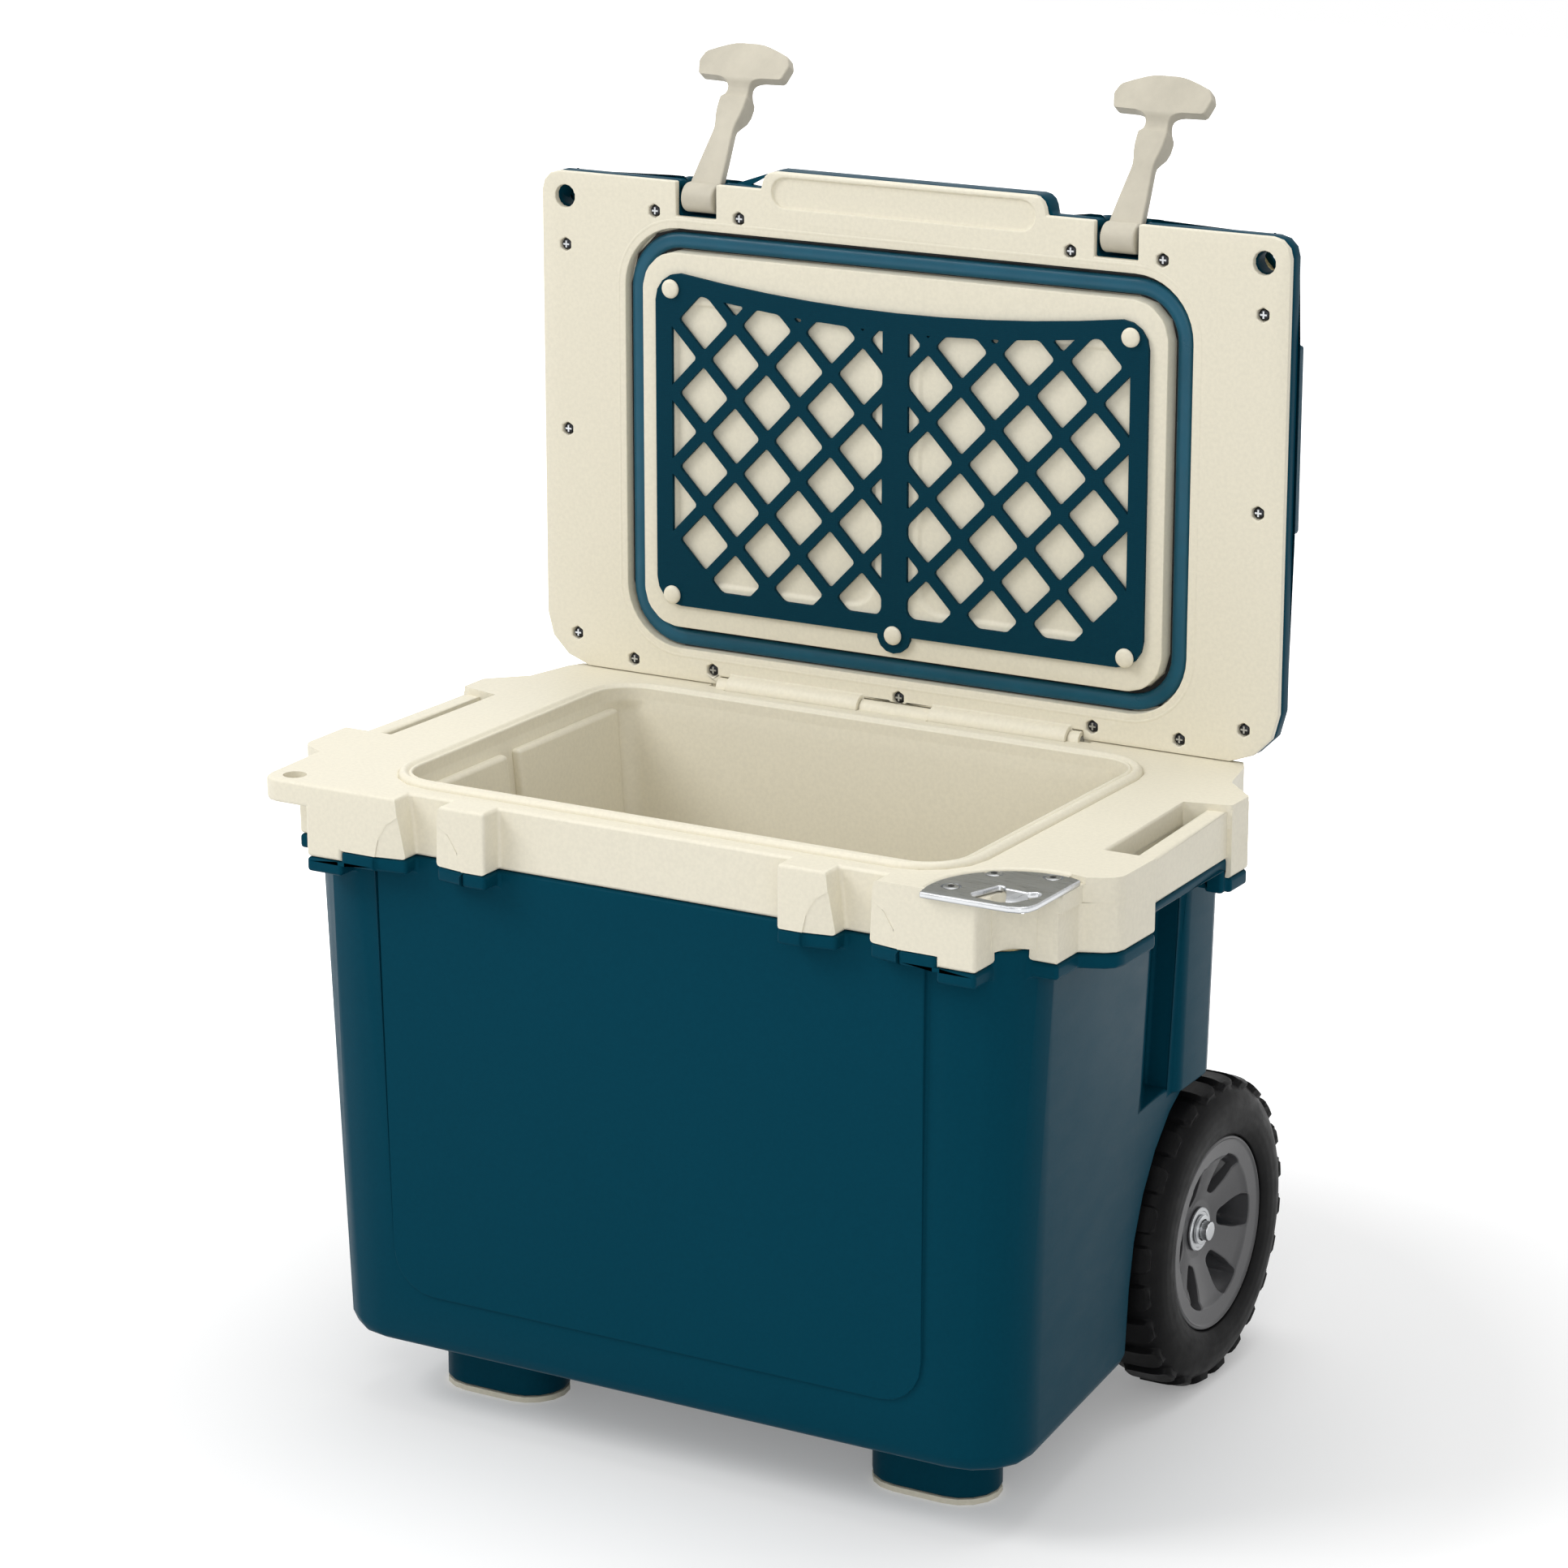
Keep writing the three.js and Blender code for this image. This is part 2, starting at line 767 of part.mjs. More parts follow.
function frontPad() {
  const level = (z, half) => {
    const share = (z - tubBottom) / (shellTop - tubBottom);
    const front = -(tubFrontBottom + (tubFrontTop - tubFrontBottom) * share) - frontPadRise;
    return { z, points: filleted(rectangle(-half, half, front, front + frontPadRise + shellWall / 2), 1) };
  };
  const steps = 5;
  const sections = [];
  for (let i = 0; i <= steps; i += 1) {
    const angle = (i * Math.PI) / steps / 2;
    const z = frontPadBottom + frontPadCorner * (1 - Math.cos(angle));
    sections.push(level(z, frontPadBottomHalf - frontPadCorner * (1 - Math.sin(angle))));
  }
  sections.push(level(shellTop, frontPadTopHalf));
  return loft(sections);
}

function footForm(side, grow, bottom, top) {
  const middle = -footFront + footDepth / 2;
  const half = [footWidth / 2 + grow, footDepth / 2 + grow];
  const corners = rectangle(-half[0], half[0], middle - half[1], middle + half[1], footCorner);
  const points = filleted(corners, 4).map((point) => point.setX(point.x + side * footOffset));
  return slab(points, bottom, top);
}

// Axle housing behind the tub, open below between its hangers
function axleHousing() {
  const front = -tubBackBottom - shellWall / 2;
  const top = tyreRadius + housingReach;
  const low = tyreRadius - housingReach;
  const hangers = [-wellInner, -hangerOffset, hangerOffset, wellInner];
  const whole = block(-wellInner, wellInner, front, housingBack, low, top);
  const pockets = hangers.slice(1).map((x, i) =>
    block(
      hangers[i] + hangerWidth / 2,
      x - hangerWidth / 2,
      shellWall - tubBackBottom,
      housingBack - shellWall,
      low - overrun,
      top - shellWall,
    ),
  );
  return cut(whole, ...pockets);
}

function drainPlace() {
  const z = cavityFloor + drainBore + drainWall + seatGap;
  const share = (z - tubBottom) / (shellTop - tubBottom);
  const front = tubFrontHalfBottom + (tubFrontHalfTop - tubFrontHalfBottom) * share;
  const back = tubBackHalfBottom + (tubBackHalfTop - tubBackHalfBottom) * share;
  const wallSide = back + ((front - back) * drainForward) / tubFrontBottom;
  return { z, wallSide, radius: drainBore + drainWall };
}

function outerShell() {
  const outer = joined(
    tubForm(0, tubBottom, shellTop),
    frontPad(),
    columnForm(1, 0, shellTop),
    columnForm(-1, 0, shellTop),
  );
  const carved = cut(
    outer,
    wellForm(1, 0),
    wellForm(-1, 0),
    grooveForm(1, 0),
    grooveForm(-1, 0),
  );
  const inner = cut(
    tubForm(shellWall, tubBottom + shellWall, shellTop + overrun),
    wellForm(1, shellWall),
    wellForm(-1, shellWall),
    grooveForm(1, shellWall),
    grooveForm(-1, shellWall),
  );
  const feet = bothSides((side) => footForm(side, 0, padThickness + seatGap, tubBottom + bottomEdge / 3));
  const rims = bothSides(flanges);
  const space = tubForm(shellWall, tubBottom + shellWall, shellTop + overrun);
  const collar = cut(joined(rims, feet), space);
  const scoops = [1, -1].flatMap((side) => [scoopForm(side, 1), scoopForm(side, -1)]);
  const axleHole = rodX(axleRadius + seatGap, -shoulderSide, shoulderSide, wheelBack, tyreRadius, 16);
  const drain = drainPlace();
  const drainHole = rodX(drain.radius + seatGap, -shoulderSide, -wellInner, -drainForward, drain.z, 12);
  return cut(joined(cut(carved, inner), collar, axleHousing()), ...scoops, axleHole, drainHole);
}

piece(cooler, 'outer_shell', outerShell(), 'shell');

// Inner liner, and the rim that it hangs in by its raised lip

function lipForm(grow, z0, z1) {
  const halfIn = cavityHalfTop - grow;
  const outer = rectangle(
    -cavityHalfTop - lipWidth - grow,
    cavityHalfTop + lipWidth + grow,
    -cavityFrontTop - lipWidth - grow,
    -cavityBackTop + lipWidth + grow,
    lipCorner,
  );
  const inner = rectangle(-halfIn, halfIn, -cavityFrontTop + grow, -cavityBackTop - grow, cavityCorner);
  return cut(slab(filleted(outer, 4), z0, z1), slab(filleted(inner, 4), z0 - overrun, z1 + overrun));
}

function rimBody() {
  const lipBottom = rimHeight - deckThickness;
  const deck = slab(deckOutline(), lipBottom, rimHeight);
  const bandPoints = filleted(
    [
      [-stepSide, -bandFront, 0],
      [stepSide, -bandFront, 0],
      [backCornerSide, -tubFrontTop + tubFrontCorner, 0],
      [backCornerSide, deckBack, 0],
      [-backCornerSide, deckBack, 0],
      [-backCornerSide, -tubFrontTop + tubFrontCorner, 0],
    ],
    1,
  );
  const band = slab(bandPoints, bandBottom, rimHeight - overrun);
  const sides = bothSides((side) => {
    const underDeck = rimHeight - overrun;
    const barTop = rimHeight - barDrop;
    const shoulder = slab(filleted(shoulderCorners(side, -shoulderBack), 2), blockBottom, underDeck);
    const heel = slab(filleted(heelCorners(side, -heelFront), 1), blockBottom, underDeck);
    const bar = slab(filleted(barCorners(side, overrun), 1), barTop - barHeight, barTop);
    const keepers = [-1, 1].map((which) => keeperForm(side, which, bandBottom, rimHeight));
    return joined(shoulder, heel, bar, ...keepers);
  });
  const body = joined(deck, band, sides);
  const below = bothSides((side) => columnForm(side, seatGap, bandBottom));
  const tubTop = loft([
    { z: blockBottom - overrun, points: tubOutline(blockBottom - overrun, -seatGap) },
    { z: bandBottom, points: tubOutline(bandBottom, -seatGap) },
  ]);
  const slots = bothSides((side) =>
    slab(filleted(sided(slotCorners, side), 1), blockBottom - overrun, rimHeight + overrun),
  );
  return cut(body, below, tubTop, slots);
}

function rimPocket(gap, bottom) {
  const top = rimHeight - deckSkin - gap;
  return loft([
    { z: bottom, points: tubOutline(shellTop, shellWall + gap) },
    { z: top, points: tubOutline(shellTop, shellWall + gap) },
  ]);
}

const hingeBeam = (grow) =>
  block(
    -stripOuter - earWidth * 2 - grow,
    stripOuter + earWidth * 2 + grow,
    -stripRadius * 2 - grow,
    deckBack,
    rimHeight - stripRadius * 2 - grow,
    rimHeight,
  );

// Stretches of the hinge line, as [from, to] on each side of the middle
const stripSpan = [stripInner, stripOuter];
const earSpan = [stripOuter, stripOuter + earWidth];

function innerLiner() {
  const outside = cavityForm(linerWall, cavityFloor - linerWall, rimHeight);
  const lip = lipForm(0, rimHeight - lipSeat, rimHeight + lipHeight);
  const dividers = bothSides((side) => {
    const ends = [side * (cavityHalfBottom - overrun), side * (cavityHalfBottom + dividerDepth)];
    const [x0, x1] = ends.sort((a, b) => a - b);
    const y0 = -dividerForward - dividerWidth / 2;
    const lean = cavityHalfLedge - cavityHalfBottom;
    const points = (shift) => {
      const corners = rectangle(x0 + shift * side, x1 + shift * side, y0, y0 + dividerWidth);
      return filleted(corners, 1);
    };
    return loft([
      { z: cavityFloor + dividerStart, points: points(0) },
      { z: rimHeight - ledgeDrop, points: points(lean) },
    ]);
  });
  const drain = drainPlace();
  const drainHole = rodX(drain.radius + seatGap, -wellInner, -cavityHalfBottom, -drainForward, drain.z, 12);
  const cavity = cavityForm(0, cavityFloor, rimHeight + lipHeight + overrun);
  return cut(joined(outside, lip), cavity, dividers, drainHole);
}

function rimFrame() {
  const shellOfRim = cut(rimBody(), rimPocket(0, bandBottom - overrun));
  const linerSpace = cavityForm(linerWall + seatGap, cavityFloor - linerWall - seatGap, rimHeight);
  const lipSpace = lipForm(seatGap, rimHeight - lipSeat - seatGap, rimHeight + overrun);
  const knuckles = joined(
    rodX(knuckleRadius, -stripInner + seatGap, stripInner - seatGap, 0, rimHeight, 12),
    ...[1, -1].map((side) => {
      const ends = earSpan.map((x) => side * (x + seatGap)).sort((a, b) => a - b);
      return rodX(knuckleRadius, ends[0], ends[1], 0, rimHeight, 12);
    }),
  );
  const notches = [1, -1].map((side) => {
    const ends = [side * (stripInner - seatGap), side * (stripOuter + seatGap)].sort((a, b) => a - b);
    const round = rodX(stripRadius + seatGap * 2, ends[0], ends[1], 0, rimHeight, 14);
    const low = rimHeight - stripRadius;
    const behind = block(ends[0], ends[1], 0, deckBack + overrun, low, rimHeight + overrun);
    return joined(round, behind);
  });
  const plateSeat = slab(openerOutline(seatGap), rimHeight - plateThickness - seatGap, rimHeight + overrun);
  const underPlate = slab(
    filleted(
      [
        [pocketSide, -deckFront - overrun, 0],
        [shoulderSide, -deckFront - overrun, 0],
        [shoulderSide, -pocketBack, 0],
        [pocketMiddle, -pocketBack, 0],
        [pocketSide, -pocketFloorFront, 0],
      ],
      1,
    ),
    blockBottom - overrun,
    rimHeight + overrun,
  );
  const padlock = rodZ(holeRadius, -lidHoleOffset, -lidHoleReach, blockBottom, rimHeight + overrun, 16);
  const plateHoles = openerScrewPlaces.map(([x, y]) =>
    rodZ(plateScrewRadius / 2 + seatGap, x, -y, rimHeight - plateScrewLength - seatGap, rimHeight, 8),
  );
  const earEnd = stripOuter + earWidth * 2;
  const rodHole = rodX(rodRadius + seatGap, -earEnd, earEnd, 0, rimHeight, 10);
  const scoops = [1, -1].flatMap((side) => [scoopForm(side, 1), scoopForm(side, -1)]);
  const whole = joined(shellOfRim, cut(hingeBeam(0), ...notches));
  const forLiner = cut(whole, linerSpace, lipSpace, ...notches);
  const open = cut(forLiner, plateSeat, underPlate, padlock, ...plateHoles, ...scoops);
  return cut(joined(open, knuckles), rodHole);
}

// Bottle opener

function openerOutline(grow) {
  const radius = plateRadius + grow;
  const side = plateSide + grow;
  const front = plateFront + grow;
  const right = Math.acos((side - plateCentreSide) / radius);
  const left = Math.PI + Math.asin((front - plateCentreFront) / radius);
  const points = [new THREE.Vector2(side, -front + cornerCut)];
  for (let i = 0; i <= plateSteps; i += 1) {
    const angle = right + ((left - right) * i) / plateSteps;
    const x = plateCentreSide + radius * Math.cos(angle);
    points.push(new THREE.Vector2(x, -plateCentreFront + radius * Math.sin(angle)));
  }
  points.push(new THREE.Vector2(side - cornerCut, -front));
  return points;
}

const openerScrewPlaces = openerScrewShares.map(([across, back]) => [
  plateCentreSide + across * plateRadius,
  plateCentreFront + back * plateRadius,
]);

function openerPlate() {
  const top = rimHeight;
  const plate = slab(openerOutline(0), top - plateThickness, top);
  const corners = windowShares.map(([across, back]) => [
    plateCentreSide + across * plateRadius,
    -plateCentreFront + back * plateRadius,
    windowCorner,
  ]);
  const window = filleted(corners, 3);
  const [[left, front], [right]] = corners;
  const tongue = block(
    Math.max(left, pocketSide) + tongueInset / 2,
    right - tongueInset,
    front - tongueInset - plateThickness,
    front - tongueInset,
    top - plateThickness * 3,
    top - plateThickness / 2,
  );
  const holes = openerScrewPlaces.map(([x, y]) =>
    rodZ(plateScrewRadius / 2 + seatGap, x, -y, top - plateThickness - overrun, top + overrun, 8),
  );
  const sinks = openerScrewPlaces.map(([x, y]) =>
    rodZ(plateScrewRadius + seatGap, x, -y, top - plateThickness / 2, top + overrun, 10),
  );
  const through = slab(window, top - plateThickness - overrun, top + overrun);
  return joined(cut(plate, through, ...holes, ...sinks), tongue);
}

function openerScrew([x, y]) {
  const headBottom = rimHeight - plateThickness / 2 + seatGap;
  const head = rodZ(plateScrewRadius, x, -y, headBottom, rimHeight - seatGap / 3, 10);
  const shank = rodZ(plateScrewRadius / 2, x, -y, rimHeight - plateScrewLength, headBottom + seatGap, 8);
  return joined(head, shank);
}

piece(cooler, 'rim_frame', rimFrame(), 'liner');
piece(cooler, 'inner_liner', innerLiner(), 'liner');
piece(cooler, 'bottle_opener', openerPlate(), 'steel');
openerScrewPlaces.forEach((place, i) => {
  piece(cooler, `opener_screw_${i + 1}`, openerScrew(place), 'steel');
});

// Foam between the shell and the liner

function foamCore() {
  const gap = shellWall + seatGap;
  const tub = cut(
    tubForm(gap, tubBottom + gap, bandBottom + overrun),
    wellForm(1, gap),
    wellForm(-1, gap),
    grooveForm(1, gap),
    grooveForm(-1, gap),
  );
  const rim = cut(rimPocket(seatGap, bandBottom), hingeBeam(seatGap));
  const liner = cavityForm(linerWall + seatGap, cavityFloor - linerWall - seatGap, rimHeight);
  const drain = drainPlace();
  const drainHole = rodX(drain.radius + seatGap, -shoulderSide, 0, -drainForward, drain.z, 12);
  const screwHoles = openerScrewPlaces.map(([x, y]) =>
    rodZ(plateScrewRadius, x, -y, rimHeight - plateScrewLength - deckSkin, rimHeight, 8),
  );
  return cut(joined(tub, rim), liner, drainHole, ...screwHoles);
}

piece(cooler, 'foam_core', foamCore(), 'foam');

// Feet pads

for (const [side, name] of [[-1, 'left'], [1, 'right']]) {
  piece(cooler, `foot_pad_${name}`, footForm(side, 0, 0, padThickness), 'liner');
}

// Drain

const drainAt = drainPlace();
const drainOuter = -drainAt.wallSide - drainFlange;

function drainSpout() {
  const inner = -cavityHalfBottom;
  const tube = rodX(drainAt.radius, drainOuter - capDepth + capWall * 2, inner, -drainForward, drainAt.z, 12);
  const flange = rodX(
    capRadius,
    drainOuter + seatGap,
    -drainAt.wallSide - drainFlange / 3,
    -drainForward,
    drainAt.z,
    16,
  );
  const bore = rodX(drainBore, drainOuter - capDepth, inner + overrun, -drainForward, drainAt.z, 12);
  return cut(joined(tube, flange), bore);
}

function drainCap() {
  const open = drainOuter - seatGap;
  const cap = rodX(capRadius - capWall / 2, open - capDepth, open, -drainForward, drainAt.z, 16);
  const space = drainAt.radius + seatGap * 2;
  const inside = rodX(space, open - capDepth + capWall, open + overrun, -drainForward, drainAt.z, 12);
  const wing = block(
    open - capDepth - capWall * 2,
    open - capDepth + capWall / 2,
    -drainForward - capRadius * capWingShare,
    -drainForward + capRadius * capWingShare,
    drainAt.z - capWall / 2,
    drainAt.z + capWall / 2,
  );
  return joined(cut(cap, inside), wing);
}

piece(cooler, 'drain_spout', drainSpout(), 'liner');
const capGroup = new THREE.Group();
cooler.add(capGroup);
piece(capGroup, 'drain_cap', drainCap(), 'shell');

// Hinge rod and axle

const rodEnd = stripOuter + earWidth + seatGap * 2;
piece(cooler, 'hinge_rod', rodX(rodRadius, -rodEnd, rodEnd, 0, rimHeight, 10), 'steel');
piece(cooler, 'axle', rodX(axleRadius, -axleEnd, axleEnd, wheelBack, tyreRadius, 12), 'steel');

// Wheels

function turned(profile, side, segments) {
  const points = profile.map(([radius, x]) => new THREE.Vector2(radius, x * side));
  const geometry = new THREE.LatheGeometry(points, segments);
  geometry.applyMatrix4(new THREE.Matrix4().makeRotationZ(-Math.PI / 2));
  return solid(geometry.translate(0, wheelBack, tyreRadius));
}

function tyre(side) {
  const tread = tyreRadius - lugHeight;
  const width = tyreOuter - tyreInner;
  const crown = (share) => tyreInner + width * share;
  const profile = [
    [beadRadius, crown(beadShares[0])],
    [beadRadius + (tread - beadRadius) * sideShares[0], tyreInner],
    [tread - lugHeight, crown(treadShares[0])],
    [tread, crown(treadShares[1])],
    [tread, crown(treadShares[2])],
    [tread - lugHeight * shoulderShare, crown(treadShares[3])],
    [beadRadius + (tread - beadRadius) * sideShares[1], tyreOuter],
    [beadRadius, crown(beadShares[1])],
    [beadRadius, crown(beadShares[0])],
  ];
  const carcass = turned(profile, side, wheelSegments);
  const lugWidth = (2 * Math.PI * tyreRadius) / lugCount - lugGap;
  const crest = Math.sqrt(tyreRadius ** 2 - (lugWidth / 2) ** 2);
  const lugs = [];
  for (let i = 0; i < lugCount; i += 1) {
    const angle = ((i + 1 / 2) * 2 * Math.PI) / lugCount;
    const [x0, x1] = [side * (tyreOuter - lugReach), side * (tyreOuter - lugHeight)].sort((a, b) => a - b);
    const geometry = new THREE.BoxGeometry(x1 - x0, lugWidth, lugHeight * 2);
    geometry.translate((x0 + x1) / 2, 0, crest - lugHeight);
    geometry.applyMatrix4(new THREE.Matrix4().makeRotationX(angle));
    lugs.push(solid(geometry.translate(0, wheelBack, tyreRadius)));
  }
  return joined(carcass, ...lugs);
}

function wheel(side) {
  const radius = beadRadius - seatGap;
  const width = tyreOuter - tyreInner;
  const [back, face] = beadShares.map((share) => tyreInner + width * share);
  const bore = axleRadius + seatGap;
  const ring = radius - dishRing;
  const profile = [
    [bore, hubFace],
    [bore, wellInner + seatGap],
    [hubRadius, wellInner + seatGap],
    [hubRadius + wheelWeb / 2, hubFace - wheelWeb * 2],
    [ring - wheelWeb, face - wheelWeb * 2],
    [radius - wheelWeb, back],
    [radius, back],
    [radius, face],
    [ring, face],
    [hubRadius, hubFace],
    [bore, hubFace],
  ];
  const body = turned(profile, side, wheelSegments);
  const windows = [];
  for (let i = 0; i < windowCount; i += 1) {
    const angle = (i * 2 * Math.PI) / windowCount;
    const inner = hubRadius + wheelWeb;
    const outer = ring - wheelWeb / 2;
    const narrow = ((inner * Math.PI) / windowCount) * wheelWindowShares[0];
    const broad = ((outer * Math.PI) / windowCount) * wheelWindowShares[1];
    const corners = [
      [inner, -narrow, wheelWeb],
      [outer, -broad, wheelWeb],
      [outer, broad, wheelWeb],
      [inner, narrow, wheelWeb],
    ];
    const shape = new THREE.Shape(filleted(corners, 1));
    const geometry = new THREE.ExtrudeGeometry(shape, { depth: shoulderSide, bevelEnabled: false });
    geometry.applyMatrix4(new THREE.Matrix4().makeRotationY(Math.PI / 2));
    geometry.applyMatrix4(new THREE.Matrix4().makeRotationX(angle));
    if (side < 0) geometry.translate(-shoulderSide, 0, 0);
    windows.push(solid(geometry.translate(0, wheelBack, tyreRadius)));
  }
  return cut(body, ...windows);
}

function hubRing(side, radius, from, thickness) {
  const [x0, x1] = [side * from, side * (from + thickness)].sort((a, b) => a - b);
  const ring = rodX(radius, x0, x1, wheelBack, tyreRadius, 12);
  const hole = rodX(axleRadius + seatGap * 2, x0 - overrun, x1 + overrun, wheelBack, tyreRadius, 8);
  return cut(ring, hole);
}

for (const [side, name] of [[-1, 'left'], [1, 'right']]) {
  const group = new THREE.Group();
  cooler.add(group);
  piece(group, `tyre_${name}`, tyre(side), 'rubber');
  piece(group, `wheel_${name}`, wheel(side), 'nylon');
  const washerFrom = hubFace + seatGap;
  piece(cooler, `axle_washer_${name}`, hubRing(side, washerRadius, washerFrom, washerThickness), 'steel');
  const clipFrom = washerFrom + washerThickness + seatGap;
  piece(cooler, `axle_clip_${name}`, hubRing(side, clipRadius, clipFrom, clipThickness), 'steel');
}

// Telescoping pull handle behind the tub

const middleRadius = guideRadius - tubeWall - seatGap;
const loopRadius = middleRadius - tubeWall - seatGap;
const middleTop = guideTop + tubeWall * 2;
const loopTop = gripTop - gripHeight / 2;

function tubePair(outer, inner, bottom, top, side) {
  const tube = rodZ(outer, side * handleOffset, handleBack, bottom, top, 12);
  return cut(tube, rodZ(inner, side * handleOffset, handleBack, bottom - overrun, top + overrun, 12));
}

function handleBracket() {
  const lean = (tubBackBottom - tubBackTop) / (shellTop - tubBottom);
  const wallAt = (z) => -tubBackBottom + lean * (z - tubBottom);
  const level = (z) => {
    const front = wallAt(z) + seatGap;
    return { z, points: filleted(rectangle(-bracketHalf, bracketHalf, front, front + bracketPlate), 1) };
  };
  const plate = loft([level(bracketBottom), level(bracketTop)]);
  const arms = [bracketBottom, bracketTop - bracketArm].map((z) => {
    const front = wallAt(z + bracketArm) + bracketPlate / 2;
    const outline = filleted(rectangle(-bracketHalf, bracketHalf, front, handleRear, guideRadius), 3);
    return slab(outline, z, z + bracketArm);
  });
  const lightening = block(
    -handleOffset + guideRadius * 2,
    handleOffset - guideRadius * 2,
    bracketPlate * 2,
    handleBack - guideRadius,
    bracketBottom - overrun,
    bracketTop + overrun,
  );
  const [low, high] = [bracketBottom - overrun, bracketTop + overrun];
  const bores = [1, -1].map((side) =>
    rodZ(guideRadius + seatGap, side * handleOffset, handleBack, low, high, 12),
  );
  return cut(joined(plate, ...arms), lightening, ...bores);
}

function handleLoop() {
  const legs = [1, -1].map((side) =>
    rodZ(loopRadius, side * handleOffset, handleBack, guideBottom + tubeWall * 4, loopTop, 12),
  );
  const bar = block(
    -handleOffset,
    handleOffset,
    handleBack - loopRadius * barDepthShare,
    handleBack + loopRadius * barDepthShare,
    loopTop - loopRadius,
    loopTop + loopRadius * barTopShare,
  );
  return joined(...legs, bar);
}

function gripForm() {
  const y0 = handleBack - gripDepth / 2;
  const outline = filleted(rectangle(-gripHalf, gripHalf, y0, y0 + gripDepth, gripDepth / 3), 3);
  const body = slab(outline, gripTop - gripHeight, gripTop);
  const gap = seatGap;
  const barSpace = block(
    -handleOffset - gap,
    handleOffset + gap,
    handleBack - loopRadius * barDepthShare - gap,
    handleBack + loopRadius * barDepthShare + gap,
    gripTop - gripHeight - overrun,
    loopTop + loopRadius * barTopShare + gap,
  );
  const low = gripTop - gripHeight - overrun;
  const legSpaces = [1, -1].map((side) =>
    rodZ(loopRadius + gap, side * handleOffset, handleBack, low, loopTop + gap, 12),
  );
  const pocket = block(
    -buttonLength / 2 - gap,
    buttonLength / 2 + gap,
    handleBack - buttonWidth / 2 - gap,
    handleBack + buttonWidth / 2 + gap,
    gripTop - releaseDepth,
    gripTop + overrun,
  );
  return cut(body, barSpace, ...legSpaces, pocket);
}

function releaseButton() {
  const outline = rectangle(
    -buttonLength / 2,
    buttonLength / 2,
    handleBack - buttonWidth / 2,
    handleBack + buttonWidth / 2,
    buttonWidth / 2,
  );
  const bottom = gripTop - releaseDepth + buttonRise + seatGap;
  return slab(filleted(outline, 4), bottom, gripTop + buttonRise);
}

piece(cooler, 'handle_bracket', handleBracket(), 'nylon');
const middleStage = new THREE.Group();
const topStage = new THREE.Group();
cooler.add(middleStage);
middleStage.add(topStage);
for (const [side, name] of [[-1, 'left'], [1, 'right']]) {
  const guide = tubePair(guideRadius, guideRadius - tubeWall, guideBottom, guideTop, side);
  piece(cooler, `handle_guide_${name}`, guide, 'steel');
  const middle = tubePair(middleRadius, middleRadius - tubeWall, guideBottom + tubeWall * 2, middleTop, side);
  piece(middleStage, `handle_tube_${name}`, middle, 'steel');
}
piece(topStage, 'handle_loop', handleLoop(), 'steel');
piece(topStage, 'handle_grip', gripForm(), 'nylon');
piece(topStage, 'handle_button', releaseButton(), 'nylon');

// Lid: written closed, with y running back and z up from the hinge line, then stood open

const lid = new THREE.Group();
lid.position.set(0, 0, lidInside);
lid.rotation.x = -Math.PI / 2;
cooler.add(lid);

function lidOutline(inset) {
  const front = -lidReach + inset;
  const corners = [
    [-lidHalf + inset, front, Math.max(lidFrontCorner - inset / 2, lidFrontCorner / 2)],
    [lidHalf - inset, front, Math.max(lidFrontCorner - inset / 2, lidFrontCorner / 2)],
    [lidHalf - inset, -lidStart - inset, Math.max(lidBackCorner - inset / 2, lidBackCorner / 3)],
    [-lidHalf + inset, -lidStart - inset, Math.max(lidBackCorner - inset / 2, lidBackCorner / 3)],
  ];
  return filleted(corners, 3);
}

function tabForm(bottom, top) {
  const front = -lidReach - tabReach;
  const corners = [
    [-tabHalf, -lidReach + tabCorner, 0],
    [-tabHalf + tabCorner / 2, front, tabCorner],
    [tabHalf - tabCorner / 2, front, tabCorner],
    [tabHalf, -lidReach + tabCorner, 0],
  ];
  return slab(filleted(corners, 3), bottom, top);
}

function domeForm(inset, bottom) {
  const sections = [
    { z: bottom, points: lidOutline(inset) },
    { z: lidEdge - inset / 4, points: lidOutline(inset) },
    { z: domeSlopeHeight - inset / 2, points: lidOutline(domeSlopeInset + inset) },
    { z: lidHeight - inset, points: lidOutline(domeTopInset + inset) },
  ];
  return loft(sections);
}

const ringOf = (outer, inner, bottom, top) =>
  cut(slab(outer, bottom, top), slab(inner, bottom - overrun, top + overrun));

function plugOutline(grow) {
  const half = plugHalf + grow;
  return filleted(rectangle(-half, half, -plugFront - grow, -plugStart + grow, plugCorner + grow), 3);
}

const screwPlaces = [
  ...edgeScrews.flatMap(([x, reach]) => [
    [-x, reach],
    [x, reach],
  ]),
  [0, middleScrewReach],
];

const hingeSpans = (span) => [1, -1].map((side) => span.map((x) => side * x).sort((a, b) => a - b));

function hingeClearance() {
  const middle = rodX(knuckleRadius + seatGap * 2, -stripInner, stripInner, 0, 0, 12);
  const ears = hingeSpans([stripOuter, stripOuter + earWidth + seatGap * 2]).map(([x0, x1]) =>
    rodX(knuckleRadius + seatGap * 2, x0, x1, 0, 0, 12),
  );
  return joined(middle, ...ears);
}

const recessForms = (grow, start, top) =>
  [1, -1].map((side) =>
    block(
      side * latchOffset - recessHalf - grow,
      side * latchOffset + recessHalf + grow,
      -lidReach - overrun,
      -start,
      -overrun,
      top,
    ),
  );

function railInside(gap) {
  const half = lidHalf - lidRail - gap;
  const front = -lidReach + lidRail + gap;
  const back = -lidStart - lidBackRail - gap;
  return filleted(rectangle(-half, half, front, back, lidFrontCorner), 2);
}

